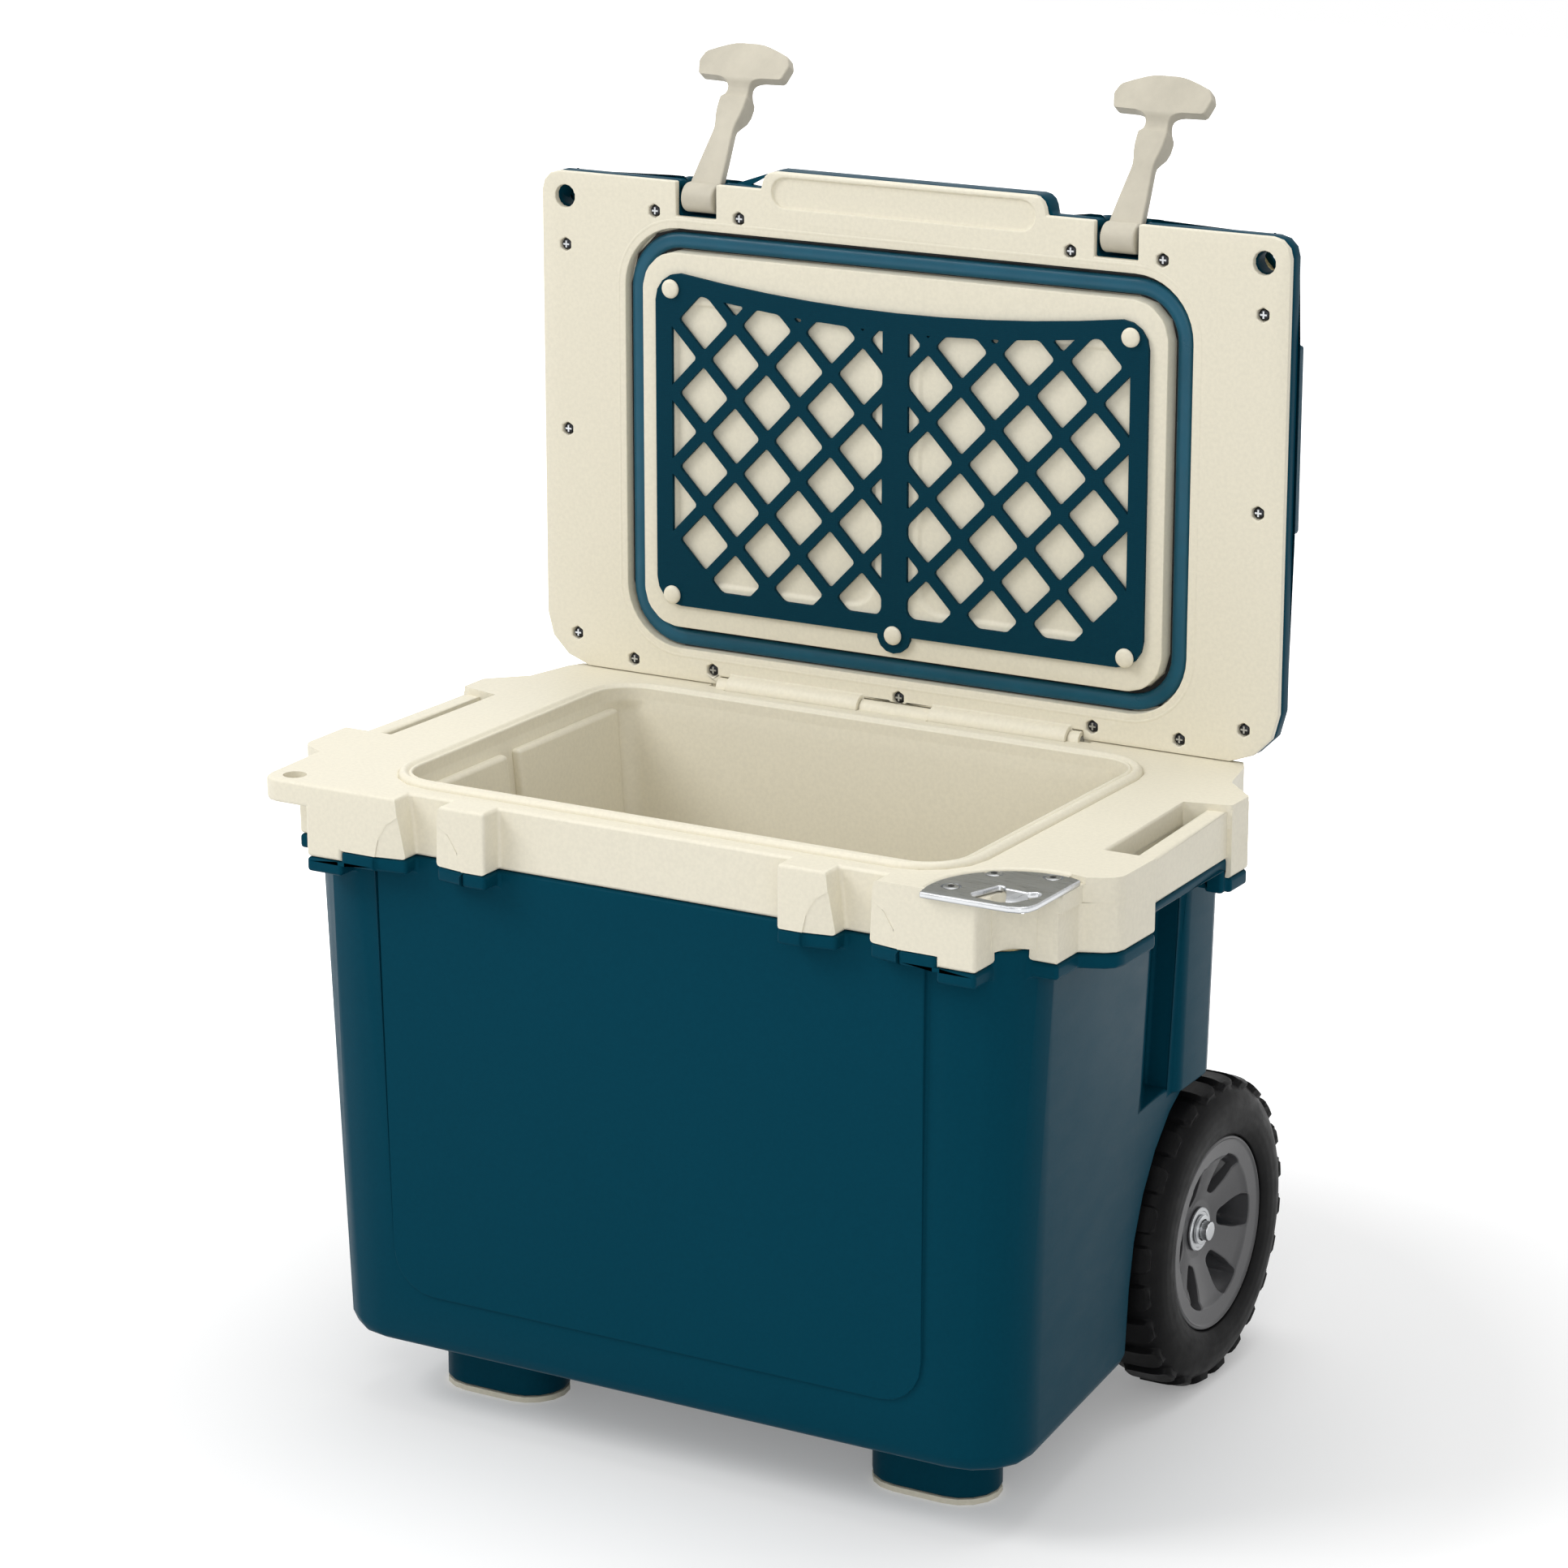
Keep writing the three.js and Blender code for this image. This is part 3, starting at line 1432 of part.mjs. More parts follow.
function lidShell() {
  const bottom = frameThickness + seatGap;
  const dome = domeForm(0, bottom);
  const rail = slab(railInside(0), bottom - overrun, lidEdge + overrun);
  const hollow = joined(domeForm(lidWall, bottom + railHeight), rail);
  const pads = [1, -1].map((side) => {
    const [x0, x1] = [side * (lidHalf - sidePadWidth), side * (lidHalf - seatGap)].sort((a, b) => a - b);
    return block(x0, x1, -sidePadEnd, -sidePadStart, lidEdge - overrun, sidePadHeight);
  });
  const wells = [1, -1].map((side) =>
    block(
      side * latchOffset - recessHalf - lidWall * 2,
      side * latchOffset + recessHalf + lidWall * 2,
      -lidReach + seatGap,
      -recessStart + lidWall,
      bottom,
      recessDepth + lidWall,
    ),
  );
  const bosses = [1, -1].map((side) =>
    rodZ(holeRadius + lidWall, side * lidHoleOffset, -lidHoleReach, bottom, domeSlopeHeight / 2, 10),
  );
  const holes = [1, -1].map((side) =>
    rodZ(holeRadius, side * lidHoleOffset, -lidHoleReach, -overrun, lidHeight, 14),
  );
  const strips = hingeSpans(stripSpan).map(([x0, x1]) =>
    rodX(stripRadius + seatGap, x0 - seatGap, x1 + seatGap, 0, 0, 14),
  );
  const pinHoles = [1, -1].map((side) => latchPinForm(side, seatGap));
  const screwHoles = screwPlaces.map(([x, reach]) =>
    rodZ(screwShank + seatGap, x, -reach, 0, frameThickness + screwLength, 5),
  );
  const outside = joined(dome, tabForm(bottom, lidEdge + frameThickness), ...pads);
  const body = joined(cut(outside, hollow), ...wells, ...bosses);
  const recesses = recessForms(0, recessStart, recessDepth);
  return cut(body, ...recesses, ...holes, ...strips, hingeClearance(), ...pinHoles, ...screwHoles);
}

function latchPinForm(side, grow) {
  const half = recessHalf + lidWall;
  return rodX(
    latchPinRadius + grow,
    side * latchOffset - half - grow,
    side * latchOffset + half + grow,
    -pivotReach,
    pivotLift,
    10,
  );
}

function lidLiner() {
  const plate = joined(slab(lidOutline(0), seatGap, frameThickness), tabForm(seatGap, frameThickness));
  const trayTop = channelDepth + channelWall;
  const tray = slab(plugOutline(channelWidth + channelWall), frameThickness / 2, trayTop);
  const plug = slab(plugOutline(0), -plugRise, trayTop);
  const groove = ringOf(plugOutline(channelWidth), plugOutline(0), -overrun, channelDepth);
  const hollow = slab(plugOutline(-channelWall * 2), frameThickness - plugRise, trayTop + overrun);
  const strips = hingeSpans(stripSpan).map(([x0, x1]) =>
    rodX(stripRadius, x0 + seatGap, x1 - seatGap, 0, 0, 14),
  );
  const rodHole = rodX(rodRadius + seatGap, -stripOuter - overrun, stripOuter + overrun, 0, 0, 10);
  const sinks = screwPlaces.map(([x, reach]) =>
    rodZ(screwRecess, x, -reach, -overrun, screwSink + screwHeadHeight + seatGap, 6),
  );
  const holes = screwPlaces.map(([x, reach]) =>
    rodZ(screwShank + seatGap, x, -reach, 0, frameThickness + overrun, 5),
  );
  const locks = [1, -1].map((side) =>
    rodZ(holeRadius, side * lidHoleOffset, -lidHoleReach, -overrun, frameThickness + overrun, 14),
  );
  const scoopFront = -lidReach - tabReach + scoopInset;
  const scoopCorners = rectangle(-scoopHalf, scoopHalf, scoopFront, scoopFront + scoopReach, scoopReach / 2);
  const scoop = slab(filleted(scoopCorners, 4), -overrun, frameThickness / 2);
  const stems = buttonPlaces.map(([x, reach]) =>
    rodZ(buttonStem + seatGap, x, -reach, -plugRise - overrun, trayTop + overrun, 8),
  );
  const whole = joined(cut(joined(plate, tray, plug), hollow, hingeClearance()), ...strips);
  const recesses = recessForms(0, recessStart, recessDepth);
  return cut(whole, groove, rodHole, ...sinks, ...holes, ...locks, scoop, ...recesses, ...stems);
}

const buttonPlaces = [
  [-buttonOffset, buttonFront],
  [buttonOffset, buttonFront],
  [-buttonOffset, buttonBack],
  [0, (buttonBack + netStart) / 2 - middleButtonInset],
  [buttonOffset, buttonBack],
];

function lidFoam() {
  const bottom = frameThickness + seatGap + railHeight + seatGap;
  const gap = lidWall + seatGap;
  const upper = domeForm(gap, bottom);
  const lower = slab(railInside(seatGap), frameThickness + seatGap, bottom + overrun);
  const trayTop = channelDepth + channelWall;
  const plugBack = frameThickness - plugRise + seatGap;
  const plugInside = plugOutline(-channelWall * 2 - seatGap);
  const tray = slab(plugOutline(channelWidth + channelWall + seatGap), 0, trayTop + seatGap);
  const inside = slab(plugInside, 0, trayTop + overrun);
  const plugSpace = cut(tray, cut(inside, slab(plugOutline(0), -overrun, plugBack)));
  const wellWall = lidWall + seatGap;
  const wells = recessForms(lidWall + wellWall, recessStart - wellWall, recessDepth + wellWall);
  const bosses = [1, -1].map((side) =>
    rodZ(holeRadius + lidWall + seatGap, side * lidHoleOffset, -lidHoleReach, 0, lidHeight, 16),
  );
  const fill = joined(upper, lower, slab(plugInside, plugBack, bottom));
  return cut(cut(fill, plugSpace), ...wells, ...bosses);
}

piece(lid, 'lid_shell', lidShell(), 'shell');
piece(lid, 'lid_liner', lidLiner(), 'liner');
piece(lid, 'lid_foam', lidFoam(), 'foam');

// Gasket and its carrier in the lid's channel

const carrierInset = seatGap;
const carrierTop = channelDepth - seatGap;
const gasketMargin = (channelWidth - gasketWidth) / 2;
piece(
  lid,
  'gasket_carrier',
  ringOf(
    plugOutline(channelWidth - carrierInset),
    plugOutline(carrierInset),
    carrierTop - carrierThickness,
    carrierTop,
  ),
  'rubber',
);

function gasket() {
  const top = carrierTop - carrierThickness - seatGap;
  const bead = (margin, height) =>
    ringOf(plugOutline(channelWidth - margin), plugOutline(margin), top - height, top);
  const wide = bead(gasketMargin, gasketHeight / 2);
  const narrow = bead(gasketMargin + gasketWidth / 6, gasketHeight);
  return joined(wide, narrow);
}

piece(lid, 'lid_gasket', gasket(), 'shell');

// Cargo net: a flat lattice panel with diamonds, a middle band and a bowed front edge

function netOutline(inset) {
  const dipSteps = 10;
  const half = netHalf - inset;
  const front = -netFront + inset;
  const corner = netCorner - inset / 2;
  const base = filleted(rectangle(-half, half, front, -netStart - inset, corner), 4);
  const isFront = (point) => point.y < front + corner + seatGap;
  const span = half - corner;
  const dip = [];
  for (let i = 1; i < dipSteps; i += 1) {
    const x = -span + (2 * span * i) / dipSteps;
    dip.push(new THREE.Vector2(x, front + netDip * (1 - (x / span) ** 2)));
  }
  return [
    ...base.filter((point) => point.x < 0 && isFront(point)),
    ...dip,
    ...base.filter((point) => point.x > 0 && isFront(point)),
    ...base.filter((point) => !isFront(point)),
  ];
}

const diamond = (x, y, halfWidth, halfHeight) => [
  new THREE.Vector2(x - halfWidth, y),
  new THREE.Vector2(x, y - halfHeight),
  new THREE.Vector2(x + halfWidth, y),
  new THREE.Vector2(x, y + halfHeight),
];

// Centres of the diamonds; each second column is shifted by half a row
function meshPlaces() {
  const places = [];
  const columns = Math.floor(netHalf / (meshPitch / 2));
  const rows = Math.ceil((netFront - meshStart) / meshRise);
  for (let column = -columns; column <= columns; column += 1) {
    for (let row = 0; row <= rows; row += 1) {
      const shift = Math.abs(column) % 2 ? meshRise / 2 : 0;
      places.push([(column * meshPitch) / 2, meshStart + shift + row * meshRise]);
    }
  }
  const nearButton = ([x, y]) => buttonPlaces.some(([bx, by]) => Math.hypot(x - bx, y - by) < netPad);
  return places.filter((place) => !nearButton(place) && place[1] > netStart + netBorder);
}

function cargoNet() {
  const bottom = -plugRise - seatGap - netThickness;
  const top = -plugRise - seatGap;
  const panel = slab(netOutline(0), bottom, top);
  const lean = Math.atan2(meshRise, meshPitch);
  const halfWidth = meshPitch / 2 - strand / 2 / Math.sin(lean);
  const halfHeight = meshRise / 2 - strand / 2 / Math.cos(lean);
  const holes = meshPlaces().map(([x, reach]) =>
    slab(diamond(x, -reach, halfWidth, halfHeight), bottom - overrun, top + overrun),
  );
  const inner = slab(netOutline(netBorder), bottom - overrun, top + overrun);
  const band = block(-netBand / 2, netBand / 2, -netFront, -netStart, bottom - overrun, top + overrun);
  const lattice = cut(joined(...holes).intersect(inner), band);
  const bump = rodZ(netBorder, 0, -buttonPlaces[3][1], bottom, top, 14);
  const stems = buttonPlaces.map(([x, reach]) =>
    rodZ(buttonStem + seatGap, x, -reach, bottom - overrun, top + overrun, 8),
  );
  return cut(joined(cut(panel, lattice), bump), ...stems);
}

piece(lid, 'cargo_net', cargoNet(), 'net');

buttonPlaces.forEach(([x, reach], i) => {
  const under = -plugRise - netThickness - seatGap * 2;
  const head = rodZ(buttonRadius, x, -reach, under - buttonHeight, under, 12);
  const stem = rodZ(buttonStem, x, -reach, under, frameThickness - plugRise - seatGap, 8);
  piece(lid, `net_button_${i + 1}`, joined(head, stem), 'liner');
});

screwPlaces.forEach(([x, reach], i) => {
  const headTop = screwSink + screwHeadHeight;
  const head = rodZ(screwHead, x, -reach, screwSink, headTop, 6);
  const shank = rodZ(screwShank, x, -reach, headTop - seatGap, frameThickness + screwLength - seatGap, 5);
  piece(lid, `lid_screw_${String(i + 1).padStart(2, '0')}`, joined(head, shank), 'darkSteel');
});

// Latches: straps that swing on a pin in each recess of the lid's front edge

function latchForm() {
  const outline = filleted(
    [
      [-barrelHalf, 0, 0],
      [barrelHalf, 0, 0],
      [strapWaist / 2, strapWaistReach, latchCorner],
      [strapWaist / 2, bulgeStart, 0],
      [neckWidth / 2, bulgeEnd + latchCorner, latchCorner],
      [neckWidth / 2, headStart, latchCorner],
      [headWidth / 2 - latchCorner, headStart, latchCorner],
      [headWidth / 2, (headStart + headEnd) / 2, latchCorner],
      [headWidth / 2 - latchCorner, (headStart + headEnd) / 2 + headCorner, latchCorner],
      [headEdge, headEnd, headCorner],
      [-headEdge, headEnd, headCorner],
      [-headWidth / 2 + latchCorner, (headStart + headEnd) / 2 + headCorner, latchCorner],
      [-headWidth / 2, (headStart + headEnd) / 2, latchCorner],
      [-headWidth / 2 + latchCorner, headStart, latchCorner],
      [-neckWidth / 2, headStart, latchCorner],
      [-neckWidth / 2, bulgeEnd + latchCorner, latchCorner],
      [-strapWaist / 2, bulgeStart, 0],
      [-strapWaist / 2, strapWaistReach, latchCorner],
    ],
    2,
  );
  const strap = slab(outline, -strapThickness / 2, strapThickness / 2);
  const headPoints = filleted(rectangle(-headWidth / 2, headWidth / 2, headStart, headEnd), 1);
  const head = slab(headPoints, -headThickness / 2, headThickness / 2).intersect(
    slab(outline, -headThickness, headThickness),
  );
  const bulgeSpan = (half, z) => {
    const corners = rectangle(-half, half, bulgeStart, bulgeEnd, latchCorner);
    return { z, points: filleted(corners, 2) };
  };
  const bulge = loft([
    bulgeSpan(strapWaist / 2, strapThickness / 2 - bulgeThickness),
    bulgeSpan(bulgeWidth / 2, strapThickness / 2),
  ]);
  const barrel = rodX(barrelRadius, -barrelHalf, barrelHalf, 0, 0, 14);
  const hole = rodX(latchPinRadius + seatGap, -barrelHalf - overrun, barrelHalf + overrun, 0, 0, 10);
  return cut(joined(strap, head, bulge, barrel), hole);
}

for (const [side, name] of [[-1, 'left'], [1, 'right']]) {
  const latch = new THREE.Group();
  latch.position.set(side * latchOffset, -pivotReach, pivotLift);
  latch.rotation.x = Math.PI - THREE.MathUtils.degToRad(latchTilt);
  lid.add(latch);
  piece(latch, `latch_${name}`, latchForm(), 'liner');
  piece(lid, `latch_pin_${name}`, latchPinForm(side, 0), 'steel');
}

export default cooler;
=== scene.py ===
"""Looks of the wheeled cooler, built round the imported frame. Metres, +Z up."""
import json
import math

import bmesh
import bpy
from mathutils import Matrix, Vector
from mathutils.bvhtree import BVHTree


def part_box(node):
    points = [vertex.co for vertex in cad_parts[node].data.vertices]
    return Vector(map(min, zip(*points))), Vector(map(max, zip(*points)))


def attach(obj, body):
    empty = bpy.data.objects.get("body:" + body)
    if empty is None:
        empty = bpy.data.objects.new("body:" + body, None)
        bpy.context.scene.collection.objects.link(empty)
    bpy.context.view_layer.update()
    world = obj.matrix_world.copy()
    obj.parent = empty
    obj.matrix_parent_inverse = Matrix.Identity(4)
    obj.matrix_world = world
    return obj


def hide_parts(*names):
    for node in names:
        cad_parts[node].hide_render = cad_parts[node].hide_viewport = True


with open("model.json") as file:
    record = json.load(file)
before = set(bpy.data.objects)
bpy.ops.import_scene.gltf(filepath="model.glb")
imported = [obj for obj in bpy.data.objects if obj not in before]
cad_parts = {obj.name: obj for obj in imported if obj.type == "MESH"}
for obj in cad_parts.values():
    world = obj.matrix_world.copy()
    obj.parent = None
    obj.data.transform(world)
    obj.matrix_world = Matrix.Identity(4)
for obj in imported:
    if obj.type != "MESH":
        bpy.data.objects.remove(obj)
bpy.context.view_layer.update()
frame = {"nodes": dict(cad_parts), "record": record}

nodes = frame["nodes"]

# Places shared with the frame: the hinge line, the lid's inner face and the wheel axle
mm = 0.001
hinge_y = 0.107
rim_z = 0.388
axle_y = hinge_y + 0.004
axle_z = 0.095

# Small lengths used all over
hair = 0.0002
weld = hair / 20
fine_edge = 0.0006
soft_edge = 0.0014
moulded_edge = 0.0022

mostly = 0.9  # an edge runs one way if that share of its direction does
white = (1, 1, 1, 1)
sides = ((-1, "left"), (1, "right"))


# Material helpers


class Nodes:
    """A material's node tree with short calls to add and join nodes."""

    def __init__(self, name):
        self.material = bpy.data.materials.new(name)
        self.material.use_nodes = True
        self.tree = self.material.node_tree
        self.tree.nodes.clear()
        self.output = self.tree.nodes.new("ShaderNodeOutputMaterial")

    def add(self, kind, inputs=None, **settings):
        node = self.tree.nodes.new("ShaderNode" + kind)
        for key, value in settings.items():
            setattr(node, key, value)
        for key, value in (inputs or {}).items():
            self.put(node.inputs[key], value)
        return node

    def put(self, painted_socket_shade, value):
        if isinstance(value, bpy.types.NodeSocket):
            self.tree.links.new(value, painted_socket_shade)
        else:
            painted_socket_shade.default_value = value

    def place(self, stretch=(1, 1, 1)):
        position = self.add("TexCoord").outputs["Object"]
        return self.add("Mapping", {"Vector": position, "Scale": stretch}).outputs["Vector"]

    def noise(self, scale, detail=3, roughness=0.55, stretch=(1, 1, 1)):
        inputs = {"Vector": self.place(stretch), "Scale": scale, "Detail": detail, "Roughness": roughness}
        return self.add("TexNoise", inputs).outputs["Fac"]

    def ramp(self, value, low, high, start=0.3, end=0.7):
        node = self.add("ValToRGB", {"Fac": value})
        node.color_ramp.elements[0].position = start
        node.color_ramp.elements[0].color = low
        node.color_ramp.elements[1].position = end
        node.color_ramp.elements[1].color = high
        return node.outputs["Color"]

    def span(self, value, low, high, start=0, end=1):
        inputs = {"Value": value, "From Min": start, "From Max": end, "To Min": low, "To Max": high}
        return self.add("MapRange", inputs).outputs["Result"]

    def mix(self, factor, a, b):
        node = self.add("Mix", data_type="RGBA")
        self.put(node.inputs["Factor"], factor)
        self.put(node.inputs["A"], a)
        self.put(node.inputs["B"], b)
        return node.outputs["Result"]

    def math(self, operation, a, b):
        node = self.add("Math", operation=operation)
        self.put(node.inputs[0], a)
        self.put(node.inputs[1], b)
        return node.outputs["Value"]

    def bump(self, height, strength, distance, normal=None):
        node = self.add("Bump", {"Height": height, "Strength": strength, "Distance": distance})
        if normal is not None:
            self.put(node.inputs["Normal"], normal)
        return node.outputs["Normal"]

    def surface(self, **inputs):
        shader = self.add("BsdfPrincipled")
        for key, value in inputs.items():
            self.put(shader.inputs[key.replace("_", " ").title().replace("Ior", "IOR")], value)
        self.put(self.output.inputs["Surface"], shader.outputs["BSDF"])
        return self.material


def shade(colour, factor):
    return tuple(channel * factor for channel in colour[:3]) + (1,)


def from_screen(red, green, blue):
    """A colour as a screen shows it, in 0 to 255, as the shader's linear value."""

    def linear(value):
        value /= 255
        return value / 12.92 if value <= 0.04045 else ((value + 0.055) / 1.055) ** 2.4

    return tuple(linear(value) for value in (red, green, blue)) + (1,)


def moulded_plastic(name, colour, roughness, drift, gloss, grain=1500, tint=white):
    """Moulded plastic: a fine stipple, slow drifts of tone, scuffs that change the gloss."""
    n = Nodes(name)
    tone = n.ramp(n.noise(scale=7, detail=4), shade(colour, 1 - drift), shade(colour, 1 + drift * 0.6))
    speck = n.ramp(n.noise(scale=420, detail=2), shade(colour, 0.94), shade(colour, 1.04), 0.35, 0.65)
    scuffs = n.noise(scale=26, detail=6, roughness=0.7, stretch=(1, 1, 2.5))
    rough = n.span(scuffs, low=roughness - 0.03, high=roughness + 0.05, start=0.3, end=0.7)
    stipple = n.bump(n.noise(scale=grain, detail=2, roughness=0.6), strength=0.18, distance=0.00012)
    waves = n.bump(n.noise(scale=9, detail=2), strength=0.12, distance=0.0006, normal=stipple)
    return n.surface(
        base_color=n.mix(0.5, tone, speck), roughness=rough, normal=waves,
        specular_ior_level=gloss, specular_tint=tint,
    )


def soft_rubber(name, colour, roughness=0.6, gloss=0.3):
    """Rubber: matt, with a slightly blotched tone and a fine skin."""
    n = Nodes(name)
    tone = n.ramp(n.noise(scale=38, detail=5, roughness=0.65), shade(colour, 0.9), shade(colour, 1.07))
    patches = n.noise(scale=90, detail=4)
    rough = n.span(patches, low=roughness - 0.07, high=roughness + 0.08, start=0.3, end=0.7)
    skin = n.bump(n.noise(scale=1400, detail=3, roughness=0.6), strength=0.3, distance=0.00012)
    return n.surface(base_color=tone, roughness=rough, normal=skin, specular_ior_level=gloss)


def tyre_rubber(name):
    """Tyre rubber: near black with patches of grey dust and a fine skin."""
    n = Nodes(name)
    black, grey = from_screen(17, 17, 18), from_screen(30, 30, 30)
    dust = n.ramp(n.noise(scale=55, detail=6, roughness=0.7), black, grey, 0.45, 0.9)
    rough = n.span(n.noise(scale=120, detail=4), low=0.4, high=0.52, start=0.3, end=0.7)
    skin = n.bump(n.noise(scale=900, detail=3), strength=0.25, distance=0.0002)
    return n.surface(base_color=dust, roughness=rough, normal=skin, specular_ior_level=0.07)


def brushed_steel(name, colour, roughness=0.3):
    """Steel with fine lines along one way."""
    n = Nodes(name)
    stretch = (1, 40, 1)
    lines = n.noise(scale=60, detail=4, roughness=0.7, stretch=stretch)
    tone = n.ramp(lines, shade(colour, 0.82), shade(colour, 1.05))
    rough = n.span(lines, low=roughness - 0.07, high=roughness + 0.1, start=0.3, end=0.7)
    scratches = n.noise(scale=160, detail=3, roughness=0.6, stretch=stretch)
    scratch = n.bump(scratches, strength=0.18, distance=0.00008)
    return n.surface(base_color=tone, roughness=rough, normal=scratch, metallic=1.0)


def webbing(name, colour):
    """Woven elastic webbing: ribs across the strands and a fine crossing weave, with painted shade
    darkening the weave's low lines.
    """
    n = Nodes(name)
    wave = {"Vector": n.place(), "Scale": 260, "Distortion": 0.6, "Detail": 1}
    warp = n.add("TexWave", wave, bands_direction="X").outputs["Fac"]
    weft = n.add("TexWave", wave, bands_direction="Z").outputs["Fac"]
    weave = n.math("MAXIMUM", warp, weft)
    fuzz = n.noise(scale=700, detail=4, roughness=0.7)
    tone = n.mix(fuzz, shade(colour, 0.8), shade(colour, 1.15))
    # painted shade: the colour darkens where the weave's bump is low, as shade in the grooves between
    # strands
    weave_with_painted_shade = n.mix(weave, shade(colour, 0.72), tone)
    ribs = n.bump(weave, strength=0.5, distance=0.00025)
    return n.surface(base_color=weave_with_painted_shade, roughness=0.72, normal=ribs, specular_ior_level=0.05)


def closed_foam(name, colour):
    """Closed-cell foam: rounded cells, each painted darker towards its sunken middle as shade, and a dull
    skin.
    """
    n = Nodes(name)
    cells = n.add("TexVoronoi", {"Vector": n.place(), "Scale": 420}).outputs["Distance"]
    # painted shade: each cell darkens towards its middle, where the bump sinks it
    tone = n.ramp(cells, shade(colour, 0.8), shade(colour, 1.04), 0.1, 0.6)
    skin = n.bump(cells, strength=0.5, distance=0.0004)
    return n.surface(base_color=tone, roughness=0.9, normal=skin)


teal = from_screen(6, 60, 77)
teal_gloss = (0.35, 0.8, 0.95, 1)
cream = from_screen(229, 223, 204)
grey = from_screen(70, 70, 72)
finishes = {
    "teal_plastic": moulded_plastic("teal_plastic", teal, 0.34, drift=0.04, gloss=0.03, tint=teal_gloss),
    "cream_plastic": moulded_plastic("cream_plastic", cream, 0.44, drift=0.02, gloss=0.25),
    "cream_rubber": soft_rubber("cream_rubber", from_screen(192, 186, 170), 0.5, 0.2),
    "black_rubber": soft_rubber("black_rubber", from_screen(24, 24, 26)),
    "tyre_rubber": tyre_rubber("tyre_rubber"),
    "teal_rubber": soft_rubber("teal_rubber", from_screen(20, 82, 104), 0.34, 0.25),
    "teal_webbing": webbing("teal_webbing", from_screen(8, 56, 72)),
    "foam": closed_foam("foam", from_screen(232, 214, 160)),
    "grey_nylon": moulded_plastic("grey_nylon", grey, 0.34, drift=0.05, gloss=0.55, grain=1100),
    "steel": brushed_steel("steel", from_screen(196, 198, 200)),
    "dark_steel": brushed_steel("dark_steel", from_screen(52, 53, 56), 0.35),
}


# Mesh helpers


def tub_place(x, y, z):
    """mm from the middle, back from the hinge line and up from the ground, as a place."""
    return Vector((x * mm, hinge_y + y * mm, z * mm))


def lid_place(x, reach, depth):
    """mm across the open lid, out from the hinge line and back from its inner face, as a place."""
    return Vector((x * mm, hinge_y + depth * mm, rim_z + reach * mm))


def rounded(x0, x1, y0, y1, radius, steps=8):
    """A rectangle with round corners, as (x, y) and the way out at each point."""
    points = []
    centres = [(x1 - radius, y1 - radius), (x0 + radius, y1 - radius)]
    centres += [(x0 + radius, y0 + radius), (x1 - radius, y0 + radius)]
    for quarter, (x, y) in enumerate(centres):
        for k in range(steps + 1):
            turn = math.radians(90 * (quarter + k / steps))
            out = (math.cos(turn), math.sin(turn))
            points.append((x + radius * out[0], y + radius * out[1], *out))
    return points


def lofted(loops, ring=False):
    """A closed mesh through loops of equal length; a ring joins its last loop to its first."""
    bm = bmesh.new()
    rows = [[bm.verts.new(point) for point in loop] for loop in loops]
    pairs = list(zip(rows, rows[1:]))
    if ring:
        pairs.append((rows[-1], rows[0]))
    for low, high in pairs:
        for i in range(len(low)):
            j = (i + 1) % len(low)
            bm.faces.new((low[i], low[j], high[j], high[i]))
    if not ring:
        bm.faces.new(rows[0][::-1])
        bm.faces.new(rows[-1])
    bmesh.ops.recalc_face_normals(bm, faces=bm.faces)
    return bm


def merged(*parts):
    """One mesh of several."""
    whole = bmesh.new()
    for part in parts:
        mesh = bpy.data.meshes.new("part")
        part.to_mesh(mesh)
        part.free()
        whole.from_mesh(mesh)
        bpy.data.meshes.remove(mesh)
    return whole


def carved(bm, *cutters):
    """The mesh less each of the cutters."""

    def held(shape):
        mesh = bpy.data.meshes.new("held")
        shape.to_mesh(mesh)
        shape.free()
        thing = bpy.data.objects.new("held", mesh)
        bpy.context.scene.collection.objects.link(thing)
        return thing

    whole = held(bm)
    tools = [held(cutter) for cutter in cutters]
    for tool in tools:
        step = whole.modifiers.new("cut", "BOOLEAN")
        step.operation = "DIFFERENCE"
        step.solver = "EXACT"
        step.object = tool
    depsgraph = bpy.context.evaluated_depsgraph_get()
    mesh = bpy.data.meshes.new_from_object(whole.evaluated_get(depsgraph))
    rest = bmesh.new()
    rest.from_mesh(mesh)
    bpy.data.meshes.remove(mesh)
    for thing in [whole, *tools]:
        spent = thing.data
        bpy.data.objects.remove(thing)
        bpy.data.meshes.remove(spent)
    bmesh.ops.remove_doubles(rest, verts=rest.verts, dist=weld)
    return rest


def ease(bm, width, segments=2, limit=32, where=None, room=0):
    """Rounds the edges sharper than the limit, or those of them that where picks.

    Edges next to one shorter than room widths get no rounding, as it would fold over itself.
    """
    wide = [face for face in bm.faces if len(face.verts) > 4]
    bmesh.ops.triangulate(bm, faces=wide)
    turn = math.radians(limit)
    sharp = [e for e in bm.edges if len(e.link_faces) == 2 and e.calc_face_angle(0) > turn]
    if where:
        sharp = [edge for edge in sharp if where(edge)]
    if room:
        short = {edge for edge in sharp if edge.calc_length() < room * width}
        tight = {vert for edge in short for vert in edge.verts}
        sharp = [edge for edge in sharp if edge not in short and not tight.intersection(edge.verts)]
    skin = BVHTree.FromBMesh(bm)
    bmesh.ops.bevel(
        bm, geom=sharp, offset=width, offset_type="OFFSET", segments=segments,
        profile=0.5, affect="EDGES", clamp_overlap=False, miter_outer="SHARP",
    )
    for vert in bm.verts:
        spot, _, _, distance = skin.find_nearest(vert.co)
        if distance > width:
            vert.co = spot
    return bm


